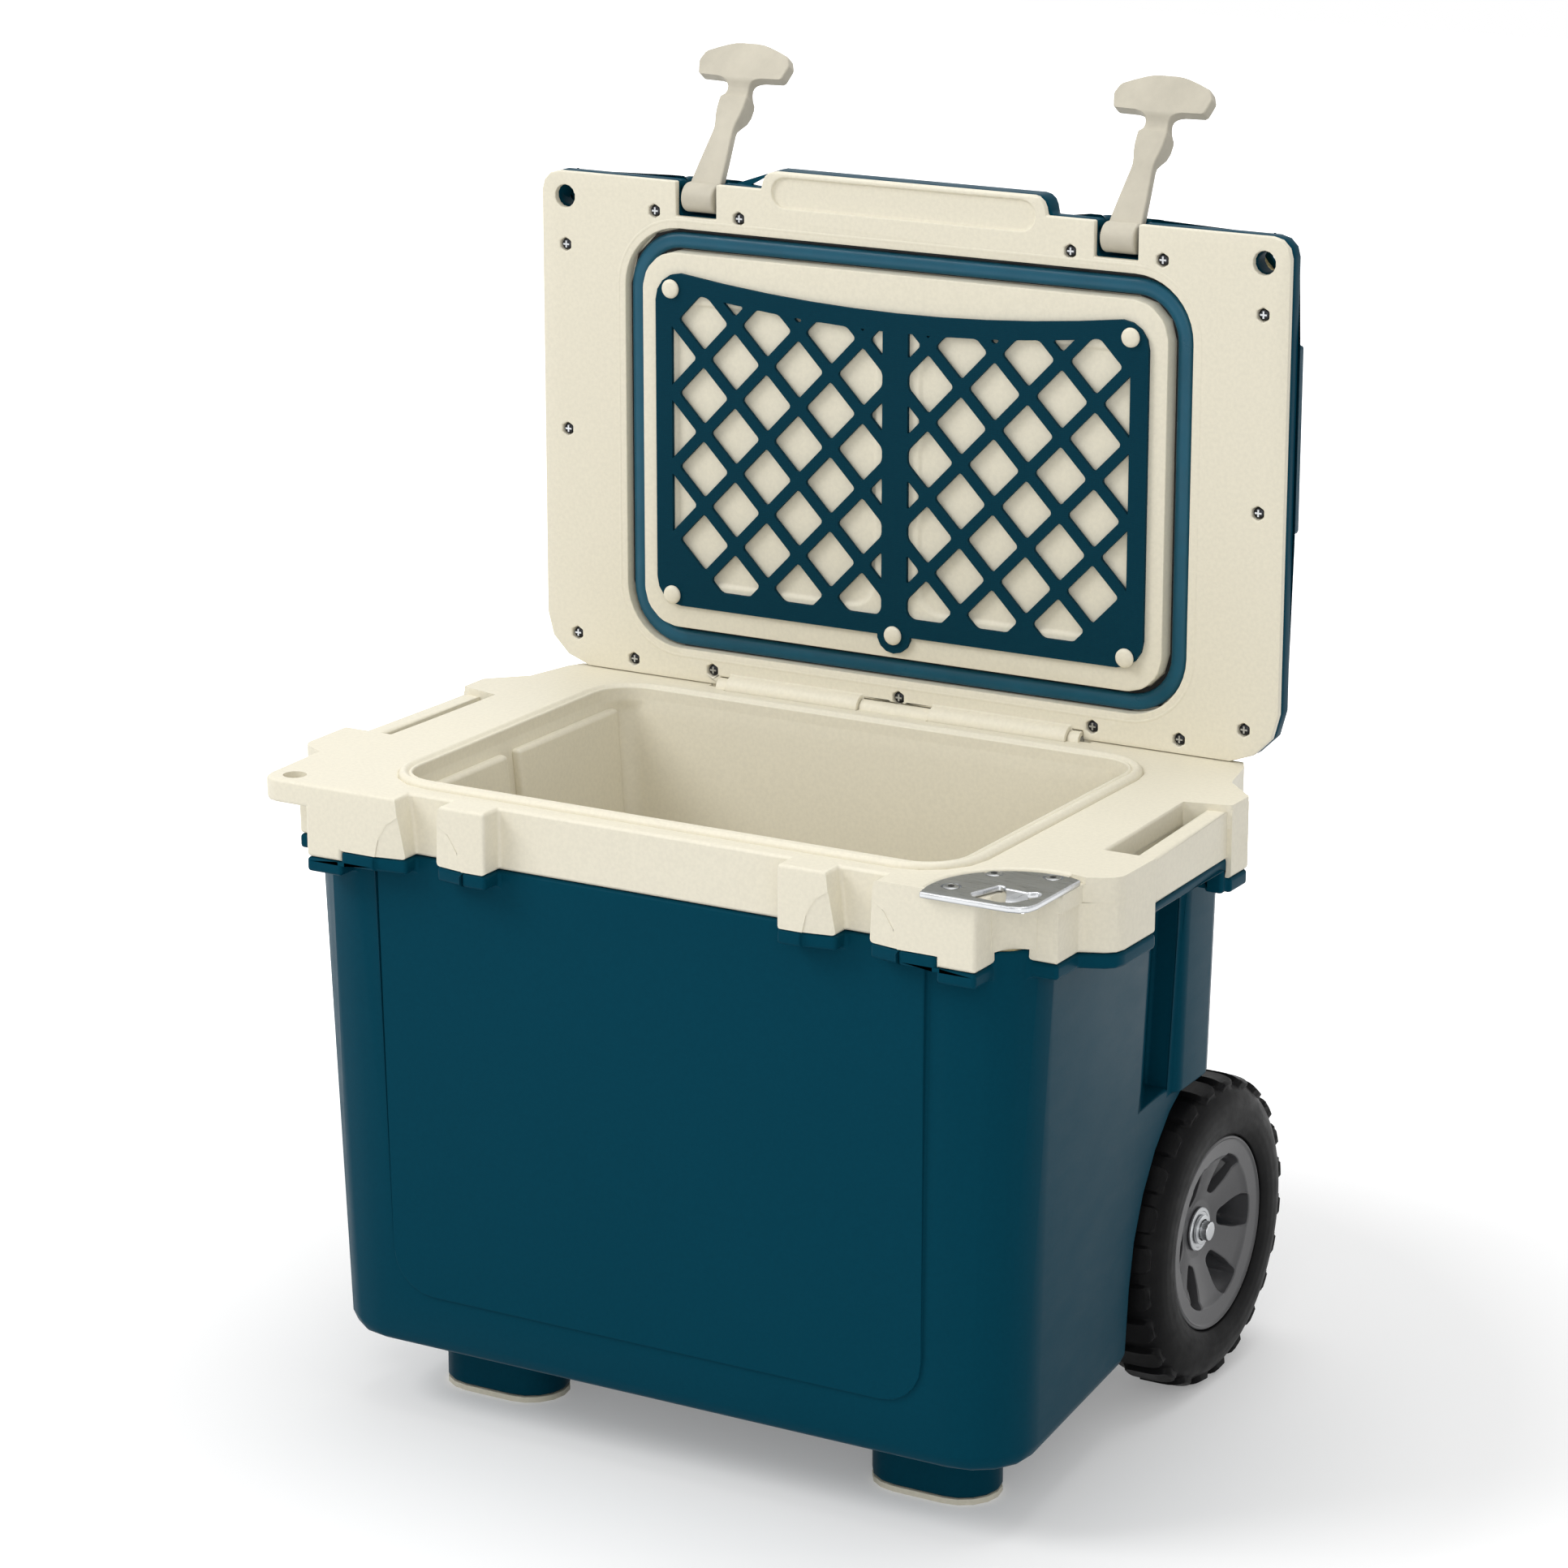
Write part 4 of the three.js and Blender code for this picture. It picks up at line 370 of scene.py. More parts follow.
def solid_of(node):
    """The node's own solid, with its flat parts joined."""
    bm = bmesh.new()
    bm.from_mesh(nodes[node].data)
    bmesh.ops.remove_doubles(bm, verts=bm.verts, dist=weld)
    flat = math.radians(0.4)
    bmesh.ops.dissolve_limit(bm, angle_limit=flat, verts=bm.verts, edges=bm.edges)
    return bm


smooth_below = 38


def link(name, bm, finish, body, smooth=smooth_below):
    """Makes an object of a bmesh, shaded smooth but for edges sharper than the angle given."""
    mesh = bpy.data.meshes.new(name)
    bmesh.ops.recalc_face_normals(bm, faces=bm.faces)
    limit = math.radians(smooth)
    for edge in bm.edges:
        edge.smooth = len(edge.link_faces) == 2 and edge.calc_face_angle(0) < limit
    for face in bm.faces:
        face.smooth = True
    bm.to_mesh(mesh)
    bm.free()
    piece = bpy.data.objects.new(name, mesh)
    bpy.context.scene.collection.objects.link(piece)
    mesh.materials.append(finishes[finish])
    weighted = piece.modifiers.new("normals", "WEIGHTED_NORMAL")
    weighted.mode = "FACE_AREA_WITH_ANGLE"
    weighted.keep_sharp = True
    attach(piece, body)
    return piece


def stands_for(node, bm, smooth=smooth_below):
    """Makes the piece that takes a node's place."""
    piece = link(node + "_moulded", bm, slot_of[node], body_of[node], smooth)
    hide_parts(node)


def middle_of(node):
    """The middle of a node's box."""
    low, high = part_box(node)
    return [(a + b) / 2 for a, b in zip(low, high)]


body_of = {
    node: body
    for body, names in frame["record"]["behaviour"]["bodies"].items()
    for node in names
}
slot_of = {entry["node"]: entry["material_slot"] for entry in frame["record"]["subparts"]}

for node, solid in nodes.items():
    solid.data.materials.clear()
    solid.data.materials.append(finishes[slot_of[node]])


# Shell, rim, lid shell and handle: the solids again with rounded edges

panel_half = 182 * mm
panel_face = hinge_y - 284 * mm
panel_low = 78 * mm
panel_high = 342 * mm


def on_panel(edge):
    """Whether the edge belongs to the shallow panel on the shell's front."""
    return all(
        abs(v.co.x) < panel_half and v.co.y < panel_face and panel_low < v.co.z < panel_high
        for v in edge.verts
    )


shell = ease(solid_of("outer_shell"), fine_edge, where=on_panel)
shell = ease(shell, moulded_edge, segments=3, where=lambda edge: not on_panel(edge))
stands_for("outer_shell", shell)

rim_room = 2.2
stands_for("rim_frame", ease(solid_of("rim_frame"), moulded_edge, segments=3, room=rim_room))

rounding = {
    "foot_pad_left": fine_edge,
    "foot_pad_right": fine_edge,
    "handle_bracket": soft_edge,
    "handle_button": fine_edge,
    "handle_loop": fine_edge,
    "drain_cap": fine_edge,
    "drain_spout": fine_edge,
}
for node, width in rounding.items():
    stands_for(node, ease(solid_of(node), width))

hinge_end = 118 * mm
lid_start = rim_z + 2 * mm
lid_drop = 1.5 * mm


def lid_solid(node):
    """A lid piece with its straight back edge brought down close to the deck, beside the hinge."""
    bm = solid_of(node)
    for vert in bm.verts:
        if abs(vert.co.z - lid_start) < hair and abs(vert.co.x) > hinge_end:
            vert.co.z -= lid_drop
    return bm


stands_for("lid_shell", ease(lid_solid("lid_shell"), moulded_edge))
button_low, button_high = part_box("handle_button")


def beside_button(edge):
    """Whether the edge runs round the opening that the handle's button sits in."""
    around = moulded_edge * 2
    return all(
        button_low[i] - around < vert.co[i] < button_high[i] + around
        for vert in edge.verts
        for i in range(3)
    )


grip = ease(solid_of("handle_grip"), moulded_edge, where=lambda edge: not beside_button(edge))
stands_for("handle_grip", grip)


# Liner: a tub with a double lip, and two raised pads on each side wall

cavity_corner = 24
lip_profile = [
    (0, -5), (0, 0.8), (0.4, 1.6), (1.2, 2), (2.1, 1.7), (2.7, 1.1), (3.3, 1.2), (4.3, 2.2), (5.8, 2.9),
    (7.2, 2.9), (8.4, 2.3), (9.3, 1.3), (9.8, 0.4), (10.1, -1.4), (4, -1.4),
]  # out from the cavity's edge and up from the deck
corner_growth = 1.42  # the lip's corners widen faster than its sides


def cavity_loop(half, front, back, grow, height, corner=cavity_corner):
    """The cavity's outline, grown by a length, at a height from the deck."""
    corner += max(grow, 0) * corner_growth
    outline = rounded(-half - grow, half + grow, -front - grow, -back + grow, corner)
    return [tub_place(x, y, rim_z / mm + height) for x, y, _, _ in outline]


mouth = (179.5, 269.5, 31.5)  # half width, front and back
inside = [
    (147, 258, 51, -303.5, 12), (148, 259, 50, -302.5, 12), (177.6, 268.9, 32.6, -15, 15),
    (178.2, 269.1, 32.2, -11, 18), (178.8, 269.3, 31.9, -8, 22), (179.1, 269.4, 31.7, -6, 23.5),
]  # half width, front, back, height from the deck and corner
liner_wall = 4
liner_loops = [
    cavity_loop(half, front, back, liner_wall, up - liner_wall, corner)
    for half, front, back, up, corner in inside[:3]
]
liner_loops += [cavity_loop(*mouth, out, up) for out, up in reversed(lip_profile)]
liner_loops += [
    cavity_loop(half, front, back, 0, up, corner)
    for half, front, back, up, corner in reversed(inside)
]
stands_for("inner_liner", lofted(liner_loops), smooth=50)

foam_gap = 2
above_foam = Vector((0, 0, 10 * mm))
cavity_walls = [
    cavity_loop(half, front, back, foam_gap, up, corner)
    for half, front, back, up, corner in inside
]
cavity_walls.append([point + above_foam for point in cavity_walls[-1]])
stands_for("foam_core", carved(solid_of("foam_core"), lofted(cavity_walls)))

pad_low, pad_high = 92, 377
wall_low, wall_high = 149, 177.8
pad_rise = 5.6
pad_sink = 1.5
pad_edge = 2.6 * mm
pad_spans = {"front": (-247, -164), "back": (-152, -56)}
pad_spread = {"front": 5, "back": 15}  # how much longer a pad is at its top
for side, side_name in sides:
    for place, (start, end) in pad_spans.items():
        loops = []
        for z, wall in ((pad_low, wall_low), (pad_high, wall_high)):
            near, far = side * (wall - pad_rise), side * (wall + pad_sink)
            spread = (z - pad_low) / (pad_high - pad_low) * pad_spread[place]
            y0, y1 = (start - spread, end) if place == "front" else (start, end + spread)
            corners = ((near, y0), (near, y1), (far, y1), (far, y0))
            loops.append([tub_place(x, y, z) for x, y in corners])
        pad = ease(lofted(loops), pad_edge, segments=4)
        link(f"liner_pad_{side_name}_{place}", pad, "cream_plastic", "tub")


# Lid's inner face: the solid again, with a smooth channel and two shallow panels sunk behind the net

plug_half, plug_start, plug_end, plug_corner = 177, 34, 267, 24


def plug_line(grow):
    """The plug's outline on the lid's inner face, grown by a length."""
    corner = plug_corner + grow
    return rounded(-plug_half - grow, plug_half + grow, plug_start - grow, plug_end + grow, corner, 10)


def beaded(outline, profile, place):
    """A profile of (out, depth) run along an outline."""
    loops = []
    for x, y, out_x, out_y in outline:
        loops.append([place(x + out_x * out, y + out_y * out, depth) for out, depth in profile])
    return lofted(loops, ring=True)


sunk_inner, sunk_outer = 15, 154
sunk_start, sunk_end = 64, 236
sunk_corner = 15
sunk_steps = ((-4, 1.6), (-3, 0.6), (-1.4, -1.2))  # depth, and how far the outline grows there


def sunk_panel(side):
    """The cutter of the shallow panel behind one half of the net."""
    loops = []
    for depth, grow in sunk_steps:
        x0, x1 = sunk_inner - grow, sunk_outer + grow
        outline = rounded(x0, x1, sunk_start - grow, sunk_end + grow, sunk_corner)
        loops.append([lid_place(side * x, y, depth) for x, y, _, _ in outline])
    return lofted(loops)


channel_near, channel_far = -0.5, 13.56
channel_open, channel_floor = -9, 8.65
channel_walls = [
    (channel_near, channel_open), (channel_far, channel_open),
    (channel_far, channel_floor), (channel_near, channel_floor),
]
channel = beaded(plug_line(0), channel_walls, lid_place)
face = carved(lid_solid("lid_liner"), channel, *[sunk_panel(side) for side, _ in sides])

scoop_start = rim_z + 296 * mm
scoop_half = 91 * mm
scoop_depth = hinge_y + 3.2 * mm
scoop_edge = 1.1 * mm
liner_edge = soft_edge * 0.7


def in_scoop(edge):
    """Whether the edge belongs to the lift tab's scoop."""
    return all(v.co.z > scoop_start and abs(v.co.x) < scoop_half for v in edge.verts)


def scoop_rim(edge):
    """Whether the edge belongs to the scoop and lies on the lid's inner face."""
    return in_scoop(edge) and all(v.co.y < scoop_depth for v in edge.verts)


ease(face, scoop_edge, segments=3, where=scoop_rim)
stands_for("lid_liner", ease(face, liner_edge, where=lambda edge: not in_scoop(edge)))


# Gasket: a bead of rubber in the channel, and a fine bead of plastic round the channel

channel_middle = 6.75
gasket_drop = 0.9
fine_bead_line = 18.5
bead_smooth = 60


def half_round(reach, height, base, steps=8):
    """A rounded bead: a flat back at the base, its crown a height in front of it."""
    return [
        (reach * math.cos(math.pi * k / steps), base - height * math.sin(math.pi * k / steps) ** 0.7)
        for k in range(steps + 1)
    ]


def gasket_place(x, reach, depth):
    return lid_place(x, reach - gasket_drop, depth)


gasket_profile = half_round(reach=4.9, height=3.3, base=6.7, steps=12)
stands_for("lid_gasket", beaded(plug_line(channel_middle), gasket_profile, gasket_place), bead_smooth)
fine_bead = beaded(plug_line(fine_bead_line), half_round(reach=0.9, height=0.25, base=0.4), lid_place)
link("channel_bead", fine_bead, "cream_plastic", "lid", bead_smooth)


# Net: its cells with round corners

button_names = [node for node in nodes if node.startswith("net_button")]
button_middles = [Vector(middle_of(node)) for node in button_names]
button_room = 0.009
cell_rounding = 0.0022


def cell_corner(edge):
    """Whether the edge runs through the net, away from the buttons, between walls wide enough."""
    first, last = (vert.co for vert in edge.verts)
    if abs((first - last).normalized().y) < mostly:
        return False
    if min((first - middle).length for middle in button_middles) < button_room:
        return False
    for wall in edge.link_faces:
        width = max(math.hypot(vert.co.x - first.x, vert.co.z - first.z) for vert in wall.verts)
        if width < 2 * cell_rounding:
            return False
    return True


net = ease(solid_of("cargo_net"), cell_rounding, segments=3, where=cell_corner)
bmesh.ops.dissolve_degenerate(net, dist=weld, edges=net.edges)
stands_for("cargo_net", net)


# Turned pieces


def turned(profile, place, segments=48):
    """A closed profile of (radius, along) turned round the axis that place is given for."""
    loops = []
    for k in range(segments):
        turn = 2 * math.pi * k / segments
        cos, sin = math.cos(turn), math.sin(turn)
        loops.append([place(radius * cos, radius * sin, along) for radius, along in profile])
    bm = lofted(loops, ring=True)
    bmesh.ops.remove_doubles(bm, verts=bm.verts, dist=weld)
    return bm


def wheel_place(side):
    """Places about the axle: mm back from it, up from it and out to one side of the cooler."""
    return lambda y, z, x: Vector((side * x * mm, axle_y + y * mm, axle_z + z * mm))


# Tyres: a smooth carcass whose outer tread swells into rounded pads that wrap the shoulder

section_step = 1.25
tread_radius = 93
tyre_smooth = 60
tyre_section = [
    (59.6, 178), (62, 175), (67, 172.8), (76, 172), (84, 173), (88.6, 176.2), (90.8, 181), (91.4, 186),
    (91.5, 191), (91.5, 197), (91.5, 203), (91.3, 208), (90.6, 212), (89.2, 215), (86.8, 217.8),
    (84, 219.6), (80.5, 221), (76, 221.9), (70, 222), (65, 221.2), (61.4, 219.8), (59.6, 218.6),
]  # from the axle, and from the middle of the cooler
lug_count = 24
lug_height = 3.5
lug_half_turn = 8.7
lug_span = (43.5, 74)
lug_corner = 4.5
lug_edge = 1.5
dish_share = 0.12
dish_start = 1.2


def along_section(section, step):
    """The section at even steps, as (radius, x, distance so far, way out)."""
    points = [Vector(point) for point in section]
    lengths = [(b - a).length for a, b in zip(points, points[1:])]
    total = sum(lengths)
    places = []
    for k in range(round(total / step) + 1):
        want = total * k / round(total / step)
        so_far = 0
        for a, b, length in zip(points, points[1:], lengths):
            if want <= so_far + length + hair:
                here = a.lerp(b, min(max((want - so_far) / length, 0), 1))
                along = (b - a).normalized()
                places.append((here.x, here.y, want, (along.y, -along.x)))
                break
            so_far += length
    return places


def swell(value):
    """A smooth step from 0 to 1."""
    value = min(max(value, 0), 1)
    return value * value * (3 - 2 * value)


def lug_rise(distance, around):
    """How far the tread stands out at a distance along the section and a length round the tyre."""
    half = (lug_span[1] - lug_span[0]) / 2 - lug_corner
    past_side = abs(distance - (lug_span[0] + lug_span[1]) / 2) - half
    past_end = abs(around) - (lug_half_turn - lug_corner)
    inside_by = min(max(past_side, past_end), 0)
    outside = math.hypot(max(past_side, 0), max(past_end, 0)) + inside_by - lug_corner
    dish = dish_share * swell((-outside - lug_edge * dish_start) / lug_edge)
    return lug_height * (swell(-outside / lug_edge) - dish)


half_shares = [0.18, 0.27, 0.3, 0.32, 0.338, 0.355, 0.372, 0.39, 0.44]
turn_shares = [-0.5, *(-share for share in reversed(half_shares)), 0, *half_shares]


def tyre(side):
    place = wheel_place(side)
    section = along_section(tyre_section, section_step)
    pitch = 2 * math.pi / lug_count
    loops = []
    for lug in range(lug_count):
        for share in turn_shares:
            turn = (lug + 0.5 + share) * pitch
            loop = []
            for radius, x, distance, out in section:
                rise = lug_rise(distance, share * pitch * tread_radius)
                r = radius + out[0] * rise
                loop.append(place(r * math.cos(turn), r * math.sin(turn), x + out[1] * rise))
            loops.append(loop)
    return lofted(loops, ring=True)


# Wheels: a dished disc with a raised outer ring and six windows

wheel_section = [
    (6.4, 205), (6.4, 168.5), (17, 168.5), (19.5, 195), (45, 208), (54, 179), (59.2, 178), (59.2, 217.6),
    (58.4, 218.6), (57.2, 218.6), (56.6, 217.7), (46.5, 216.6), (43, 213.4), (22, 206.6), (18.5, 205.6),
    (17.2, 205),
]  # from the axle, and from the middle of the cooler
window_count = 6
window_depth = (160, 226)
window_corners = [
    (23, -4.2, 3), (37, -9.6, 5), (46.6, -10.2, 3.2), (48.2, 0, 30), (46.6, 10.2, 3.2), (37, 9.6, 5),
    (23, 4.2, 3),
]  # out from the axle, across, and how far the corner's curve reaches
wheel_edge = 0.9 * mm
wheel_sharp = 30
corner_share = 2.1  # no curve takes more of a side than one part in so many


def curved_corners(corners, steps=3):
    """The outline through the corners, with a curve in place of each."""
    points = []
    for i, (r, t, radius) in enumerate(corners):
        before, after = corners[i - 1], corners[(i + 1) % len(corners)]
        here = Vector((r, t))
        to_before, to_after = Vector(before[:2]) - here, Vector(after[:2]) - here
        reach = min(radius, to_before.length / corner_share, to_after.length / corner_share)
        start, end = here + to_before.normalized() * reach, here + to_after.normalized() * reach
        for step in range(steps + 1):
            share = step / steps
            points.append(start.lerp(here, share).lerp(here.lerp(end, share), share))
    return points


def wheel(side):
    place = wheel_place(side)
    outline = curved_corners(window_corners)
    cutters = []
    for k in range(window_count):
        middle = 2 * math.pi * k / window_count
        cos, sin = math.cos(middle), math.sin(middle)
        window = [(point.x * cos - point.y * sin, point.x * sin + point.y * cos) for point in outline]
        cutters.append(lofted([[place(y, z, x) for y, z in window] for x in window_depth]))
    body = turned(wheel_section, place, segments=96)
    return ease(carved(body, *cutters), wheel_edge, segments=3, limit=wheel_sharp)


# Washer and clip on each end of the axle

washer_section = [
    (6.6, 205.4), (13, 205.4), (13.4, 205.8), (13.4, 206.8), (12.8, 207.3), (11.2, 207.3),
    (10.8, 206.9), (8.4, 206.9), (8, 207.3), (6.6, 207.3),
]
clip_section = [(6.6, 207.7), (8.6, 207.7), (9, 208.1), (9, 208.9), (8.6, 209.2), (6.6, 209.2)]
axle_edge = 0.8 * mm
for side, name in sides:
    stands_for("tyre_" + name, tyre(side), tyre_smooth)
    stands_for("wheel_" + name, wheel(side), wheel_sharp)
    stands_for("axle_washer_" + name, turned(washer_section, wheel_place(side)))
    stands_for("axle_clip_" + name, turned(clip_section, wheel_place(side)))
stands_for("axle", ease(solid_of("axle"), axle_edge))


# Latches: a barrel, a strap that thins and swells, and a broad T-shaped pull

latch_lean = math.radians(35)
latch_middle = 140.5
pin_reach, pin_depth = 299, 9.3
strap_corner = 1.3
latch_smooth = 42
latch_sections = [
    (0, 11, 3, -3), (5, 11, 3, -3), (24, 9.2, 3, -3), (43, 7.1, 3, -3.1), (46, 7, 3, -3.6),
    (50, 7.6, 3.2, -6.2), (54, 8.6, 3.4, -8.8), (59, 9.3, 3.5, -10), (64, 9.5, 3.5, -9.8),
    (66.6, 9.4, 3.5, -9), (67.4, 8.9, 2.9, -8.6), (69.5, 8.1, 1.4, -7.4), (72, 7.7, 0.9, -6),
    (74.6, 7.7, 1.6, -5), (76.6, 8.6, 2.8, -4.4), (78, 10.2, 3.6, -4.1), (79, 12.6, 3.9, -4),
    (79.7, 16, 4, -4), (80, 28, 4, -4), (81, 29.4, 4, -4), (84, 30.3, 4, -4), (88.6, 31.5, 4, -4),
    (90, 31.4, 4, -4), (94.5, 29.4, 4, -4), (95.8, 28, 4, -4), (98.5, 21.5, 4, -4), (100.8, 15, 4, -4),
    (102, 10.5, 3.9, -3.9), (102.7, 6, 3.2, -3.2),
]  # along the strap from its pin, half width, front and back
barrel_section = [
    (2.4, -11), (7.6, -11), (8.6, -10.4), (9, -9.4), (9, 9.4), (8.6, 10.4), (7.6, 11), (2.4, 11),
]


def latch_place(side):
    """Places about a latch's pin: mm across, along the strap and out from its face."""

    def place(x, along, out):
        reach = pin_reach + along * math.cos(latch_lean) + out * math.sin(latch_lean)
        depth = pin_depth + along * math.sin(latch_lean) - out * math.cos(latch_lean)
        return lid_place(side * latch_middle + x, reach, depth)

    return place


def latch(side):
    place = latch_place(side)
    loops = []
    for along, half, front, back in latch_sections:
        outline = rounded(-half, half, back, front, strap_corner, steps=4)
        loops.append([place(x, along, y) for x, y, _, _ in outline])
    barrel = turned(barrel_section, lambda a, b, x: place(x, a, b), segments=40)
    return merged(lofted(loops), barrel)


for side, name in sides:
    stands_for("latch_" + name, latch(side), latch_smooth)


# Screws and buttons

screw_section = [(0, 1.5), (1.6, 1.6), (2.8, 2), (3.4, 2.7), (3.4, 3.8), (1.6, 4), (1.6, 13), (0, 13)]
button_section = [
    (0, -8.6), (3.4, -8.5), (5, -8), (5.7, -7.2), (5.8, -6.5), (5.4, -6.1), (3, -6.1), (3, 1.6), (0, 1.6),
]


def cross_of(reach, half, place, low, high):
    """A cross-shaped prism."""
    corners = [
        (half, half), (half, reach), (-half, reach), (-half, half), (-reach, half), (-reach, -half),
        (-half, -half), (-half, -reach), (half, -reach), (half, -half), (reach, -half), (reach, half),
    ]
    return lofted([[place(x, y, depth) for x, y in corners] for depth in (low, high)])


def about(node):
    """Places about the middle of a node on the lid: mm across, out from the hinge and back."""
    x, _, z = middle_of(node)
    across, reach = x / mm, (z - rim_z) / mm
    return lambda a, b, depth: lid_place(across + a, reach + b, depth)


screw_names = [node for node in nodes if node.startswith("lid_screw")]
for node in screw_names:
    stands_for(node, turned(screw_section, about(node), segments=20), smooth=40)
    cross = cross_of(reach=2.1, half=0.5, place=about(node), low=1.3, high=2.4)
    link(node + "_cross", cross, "steel", "lid")
for node in button_names:
    stands_for(node, turned(button_section, about(node), segments=32), smooth=60)


# Bottle opener: a fine plate with eased edges, a bent tongue below its window, and three flat screws

plate_top = 388
plate_thickness = 3.5
plate_centre = (235, -298.5)
plate_radius = 50.8
plate_side, plate_front = 251, -313
plate_cut = 12
plate_steps = 40
plate_edge = 1.1 * mm
cut_shares = ((1, 0), (0.45, 0.14), (0.14, 0.45))  # of the cut, along its corner
window_shares = [
    (-0.47, -0.05), (-0.4, -0.13), (-0.08, -0.17), (0.06, -0.12), (0.2, 0.2), (0.19, 0.29), (0.12, 0.33),
    (0.06, 0.26), (-0.24, 0.28), (-0.27, 0.34), (-0.34, 0.34), (-0.36, 0.27),
]  # of the plate's radius, from its centre
window_edge = 1.2 * mm
window_span = (plate_top - 9, plate_top + 5)
window_sharp, plate_sharp = 20, 45
tongue_rows = ((1, 0, 2), (4, 0.4, 1.8), (8, 1.8, 1.4), (11, 4, 0.8))  # drop, forward and thickness
tongue_gap = 1
tongue_edge = 0.3 * mm
seat_section = [(0, 386.6), (5.4, 386.6), (5.8, 389), (0, 389)]
head_section = [(0, 388.2), (3.7, 388.2), (4.5, 387.8), (4.6, 386.7), (2.3, 386.6), (2.3, 374), (0, 374)]
socket_radius = 2
socket_span = (387, 388.3)
opener_screws = [name for name in nodes if name.startswith("opener_screw")]


def screw_place(node):
    """Places about an upright screw: mm across, back and up from the ground."""
    x, y, _ = middle_of(node)
    return lambda a, b, z: Vector((x + a * mm, y + b * mm, z * mm))


def prism(outline, low, high):
    """An outline seen from above, raised from one height to another."""
    return lofted([[tub_place(x, y, z) for x, y in outline] for z in (low, high)])


def upright(edge):
    """Whether the edge runs up and down."""
    return abs((edge.verts[0].co - edge.verts[1].co).normalized().z) > mostly


def plate_outline():
    """The plate from above: an arc, and two straight edges that meet in a cut corner."""
    x, y = plate_centre
    right = math.acos((plate_side - x) / plate_radius)
    left = math.pi + math.asin((-plate_front + y) / plate_radius)
    outline = [(plate_side, plate_front + plate_cut)]
    for k in range(plate_steps + 1):
        turn = right + (left - right) * k / plate_steps
        outline.append((x + plate_radius * math.cos(turn), y + plate_radius * math.sin(turn)))
    outline += [(plate_side - plate_cut * a, plate_front + plate_cut * b) for a, b in cut_shares]
    return outline


def tongue_of(left, right):
    """The tongue that bends down and forward from the window's front edge."""
    loops = []
    for drop, forward, thickness in tongue_rows:
        points = [
            (right[0] - tongue_gap, right[1] - forward),
            (right[0] - tongue_gap, right[1] - forward + thickness),
            (left[0] + tongue_gap, left[1] - forward + thickness),
            (left[0] + tongue_gap, left[1] - forward),
        ]
        loops.append([tub_place(x, y, plate_top - drop) for x, y in points])
    return ease(lofted(loops), tongue_edge)


def opener():
    x, y = plate_centre
    window = [(x + a * plate_radius, y + b * plate_radius) for a, b in window_shares]
    hole = ease(prism(window, *window_span), window_edge, segments=3, limit=window_sharp, where=upright)
    plate = carved(prism(plate_outline(), plate_top - plate_thickness, plate_top), hole)
    ease(plate, plate_edge, segments=3, limit=plate_sharp)
    seats = [turned(seat_section, screw_place(node), segments=32) for node in opener_screws]
    return merged(carved(plate, *seats), tongue_of(window[8], window[7]))


stands_for("bottle_opener", opener())
for node in opener_screws:
    place = screw_place(node)
    stands_for(node, turned(head_section, place, segments=32))
    turns = [math.pi * k / 3 for k in range(6)]
    # painted shade: a black hexagon just proud of the head stands in for the shade down the screw's hex
    # socket, which is not cut
    corners = [(socket_radius * math.cos(turn), socket_radius * math.sin(turn)) for turn in turns]
    painted_socket_shade = lofted([[place(a, b, z) for a, b in corners] for z in socket_span])
    link(node + "_socket", painted_socket_shade, "black_rubber", "tub")


# Lining of the pocket under the opener: one hollow curve from its side wall to its back wall

pocket_side, pocket_back = 217.5, -271
pocket_round = 18
pocket_low, pocket_high = 351.7, 384
lining_thickness = 2.4
lining_gap = 0.2


def pocket_curve(radius, steps=12):
    """A quarter turn from the pocket's side wall to its back wall."""
    x = pocket_side + pocket_round + lining_gap
    y = pocket_back - pocket_round - lining_gap
    turns = [math.radians(180 - 90 * k / steps) for k in range(steps + 1)]
    return [(x + math.cos(turn) * radius, y + math.sin(turn) * radius) for turn in turns]


lining = pocket_curve(pocket_round) + pocket_curve(pocket_round + lining_thickness)[::-1]
link("pocket_lining", prism(lining, pocket_low, pocket_high), "cream_plastic", "tub")


# Floor: it takes the shadow near the cooler and fades to white away from it; its glow is weaker near the
# cooler, painted shade that darkens the floor round the cooler beyond its cast shadow

floor_half = 6.0
floor_grey = (0.8, 0.8, 0.8, 1)
# the floor's glow: weaker near the cooler as painted shade, full white far off
painted_shade_glow_near, glow_far = 0.22, 1.0
fade_start, fade_end = 0.42, 1.08
floor_mesh = bpy.data.meshes.new("floor")
corners = [(-floor_half, -floor_half, 0), (floor_half, -floor_half, 0)]
corners += [(floor_half, floor_half, 0), (-floor_half, floor_half, 0)]
floor_mesh.from_pydata(corners, [], [(0, 1, 2, 3)])
floor = bpy.data.objects.new("floor", floor_mesh)
bpy.context.scene.collection.objects.link(floor)

floor_nodes = Nodes("floor")
path = floor_nodes.add("LightPath")
matt = floor_nodes.add("BsdfDiffuse", {"Color": floor_grey})
seen = floor_nodes.math("MAXIMUM", path.outputs["Is Camera Ray"], path.outputs["Is Glossy Ray"])
away = floor_nodes.add("VectorMath", {0: floor_nodes.place()}, operation="LENGTH").outputs["Value"]
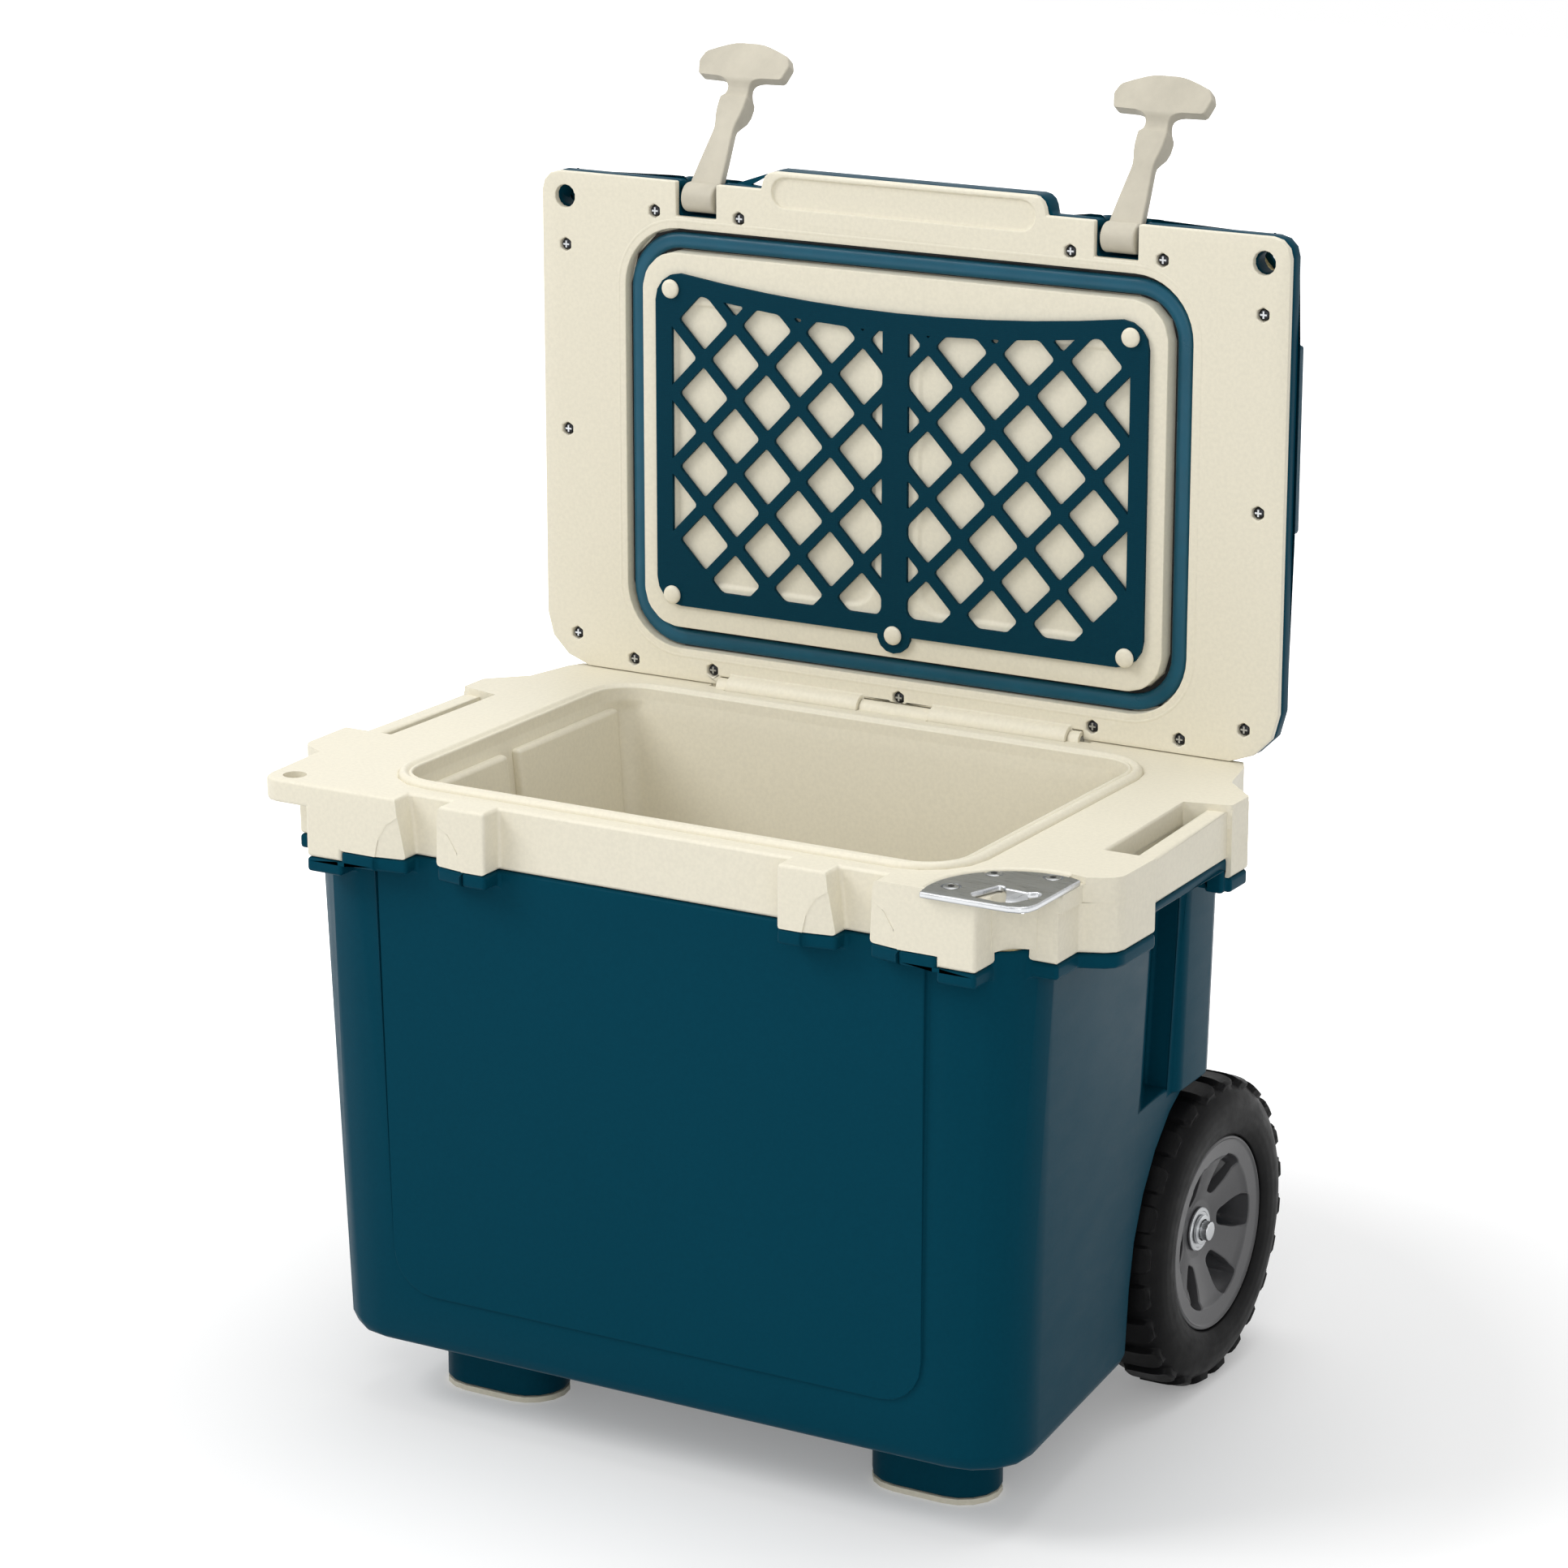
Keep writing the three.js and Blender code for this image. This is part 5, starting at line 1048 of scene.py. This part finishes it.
# painted shade: the glow drops near the cooler, so the floor there reads darker than its lamps make it
glow_with_painted_shade = floor_nodes.span(away, painted_shade_glow_near, glow_far, fade_start, fade_end)
lift = floor_nodes.math("MULTIPLY", seen, glow_with_painted_shade)
glow = floor_nodes.add("Emission", {"Color": white, "Strength": lift})
both = floor_nodes.add("AddShader")
floor_nodes.put(both.inputs[0], matt.outputs["BSDF"])
floor_nodes.put(both.inputs[1], glow.outputs["Emission"])
floor_nodes.put(floor_nodes.output.inputs["Surface"], both.outputs["Shader"])
floor_mesh.materials.append(floor_nodes.material)


# World: white where it is seen, softer as a light

world_light, world_seen = 0.55, 1.0
world = bpy.data.worlds.new("studio")
bpy.context.scene.world = world
world.use_nodes = True
tree = world.node_tree
tree.nodes.clear()
ray = tree.nodes.new("ShaderNodeLightPath")
seen_by = tree.nodes.new("ShaderNodeMath")
seen_by.operation = "MAXIMUM"
tree.links.new(ray.outputs["Is Camera Ray"], seen_by.inputs[0])
tree.links.new(ray.outputs["Is Glossy Ray"], seen_by.inputs[1])
level = tree.nodes.new("ShaderNodeMapRange")
level.inputs["To Min"].default_value = world_light
level.inputs["To Max"].default_value = world_seen
tree.links.new(seen_by.outputs["Value"], level.inputs["Value"])
background = tree.nodes.new("ShaderNodeBackground")
tree.links.new(level.outputs["Result"], background.inputs["Strength"])
background.inputs["Color"].default_value = white
world_out = tree.nodes.new("ShaderNodeOutputWorld")
tree.links.new(background.outputs["Background"], world_out.inputs["Surface"])


# Lamps and camera


def lamp(name, place, aim, size, power):
    """A round lamp that faces a point."""
    data = bpy.data.lights.new(name, "AREA")
    data.shape = "DISK"
    data.size = size
    data.energy = power
    light = bpy.data.objects.new(name, data)
    bpy.context.scene.collection.objects.link(light)
    light.location = place
    light.rotation_euler = (Vector(aim) - Vector(place)).to_track_quat("-Z", "Y").to_euler()


middle = (0, 0, rim_z)
lamp("key", (-2.2, -1.9, 2.7), middle, size=1.8, power=56)
lamp("fill", (1.7, -2.9, 1.6), middle, size=2.2, power=22)
lamp("top", (0.1, 0.4, 3.2), middle, size=2.0, power=31)

camera_place = (1.396, hinge_y - 2.5313, 1.1704)
camera_drop = 15.97
camera_turn = 30.23
camera_data = bpy.data.cameras.new("camera")
camera_data.lens = 114.2
camera_data.sensor_width = 36
camera = bpy.data.objects.new("camera", camera_data)
bpy.context.scene.collection.objects.link(camera)
camera.location = camera_place
camera.rotation_euler = (math.radians(90 - camera_drop), 0, math.radians(camera_turn))
bpy.context.scene.camera = camera
bpy.context.scene.view_settings.view_transform = "Standard"
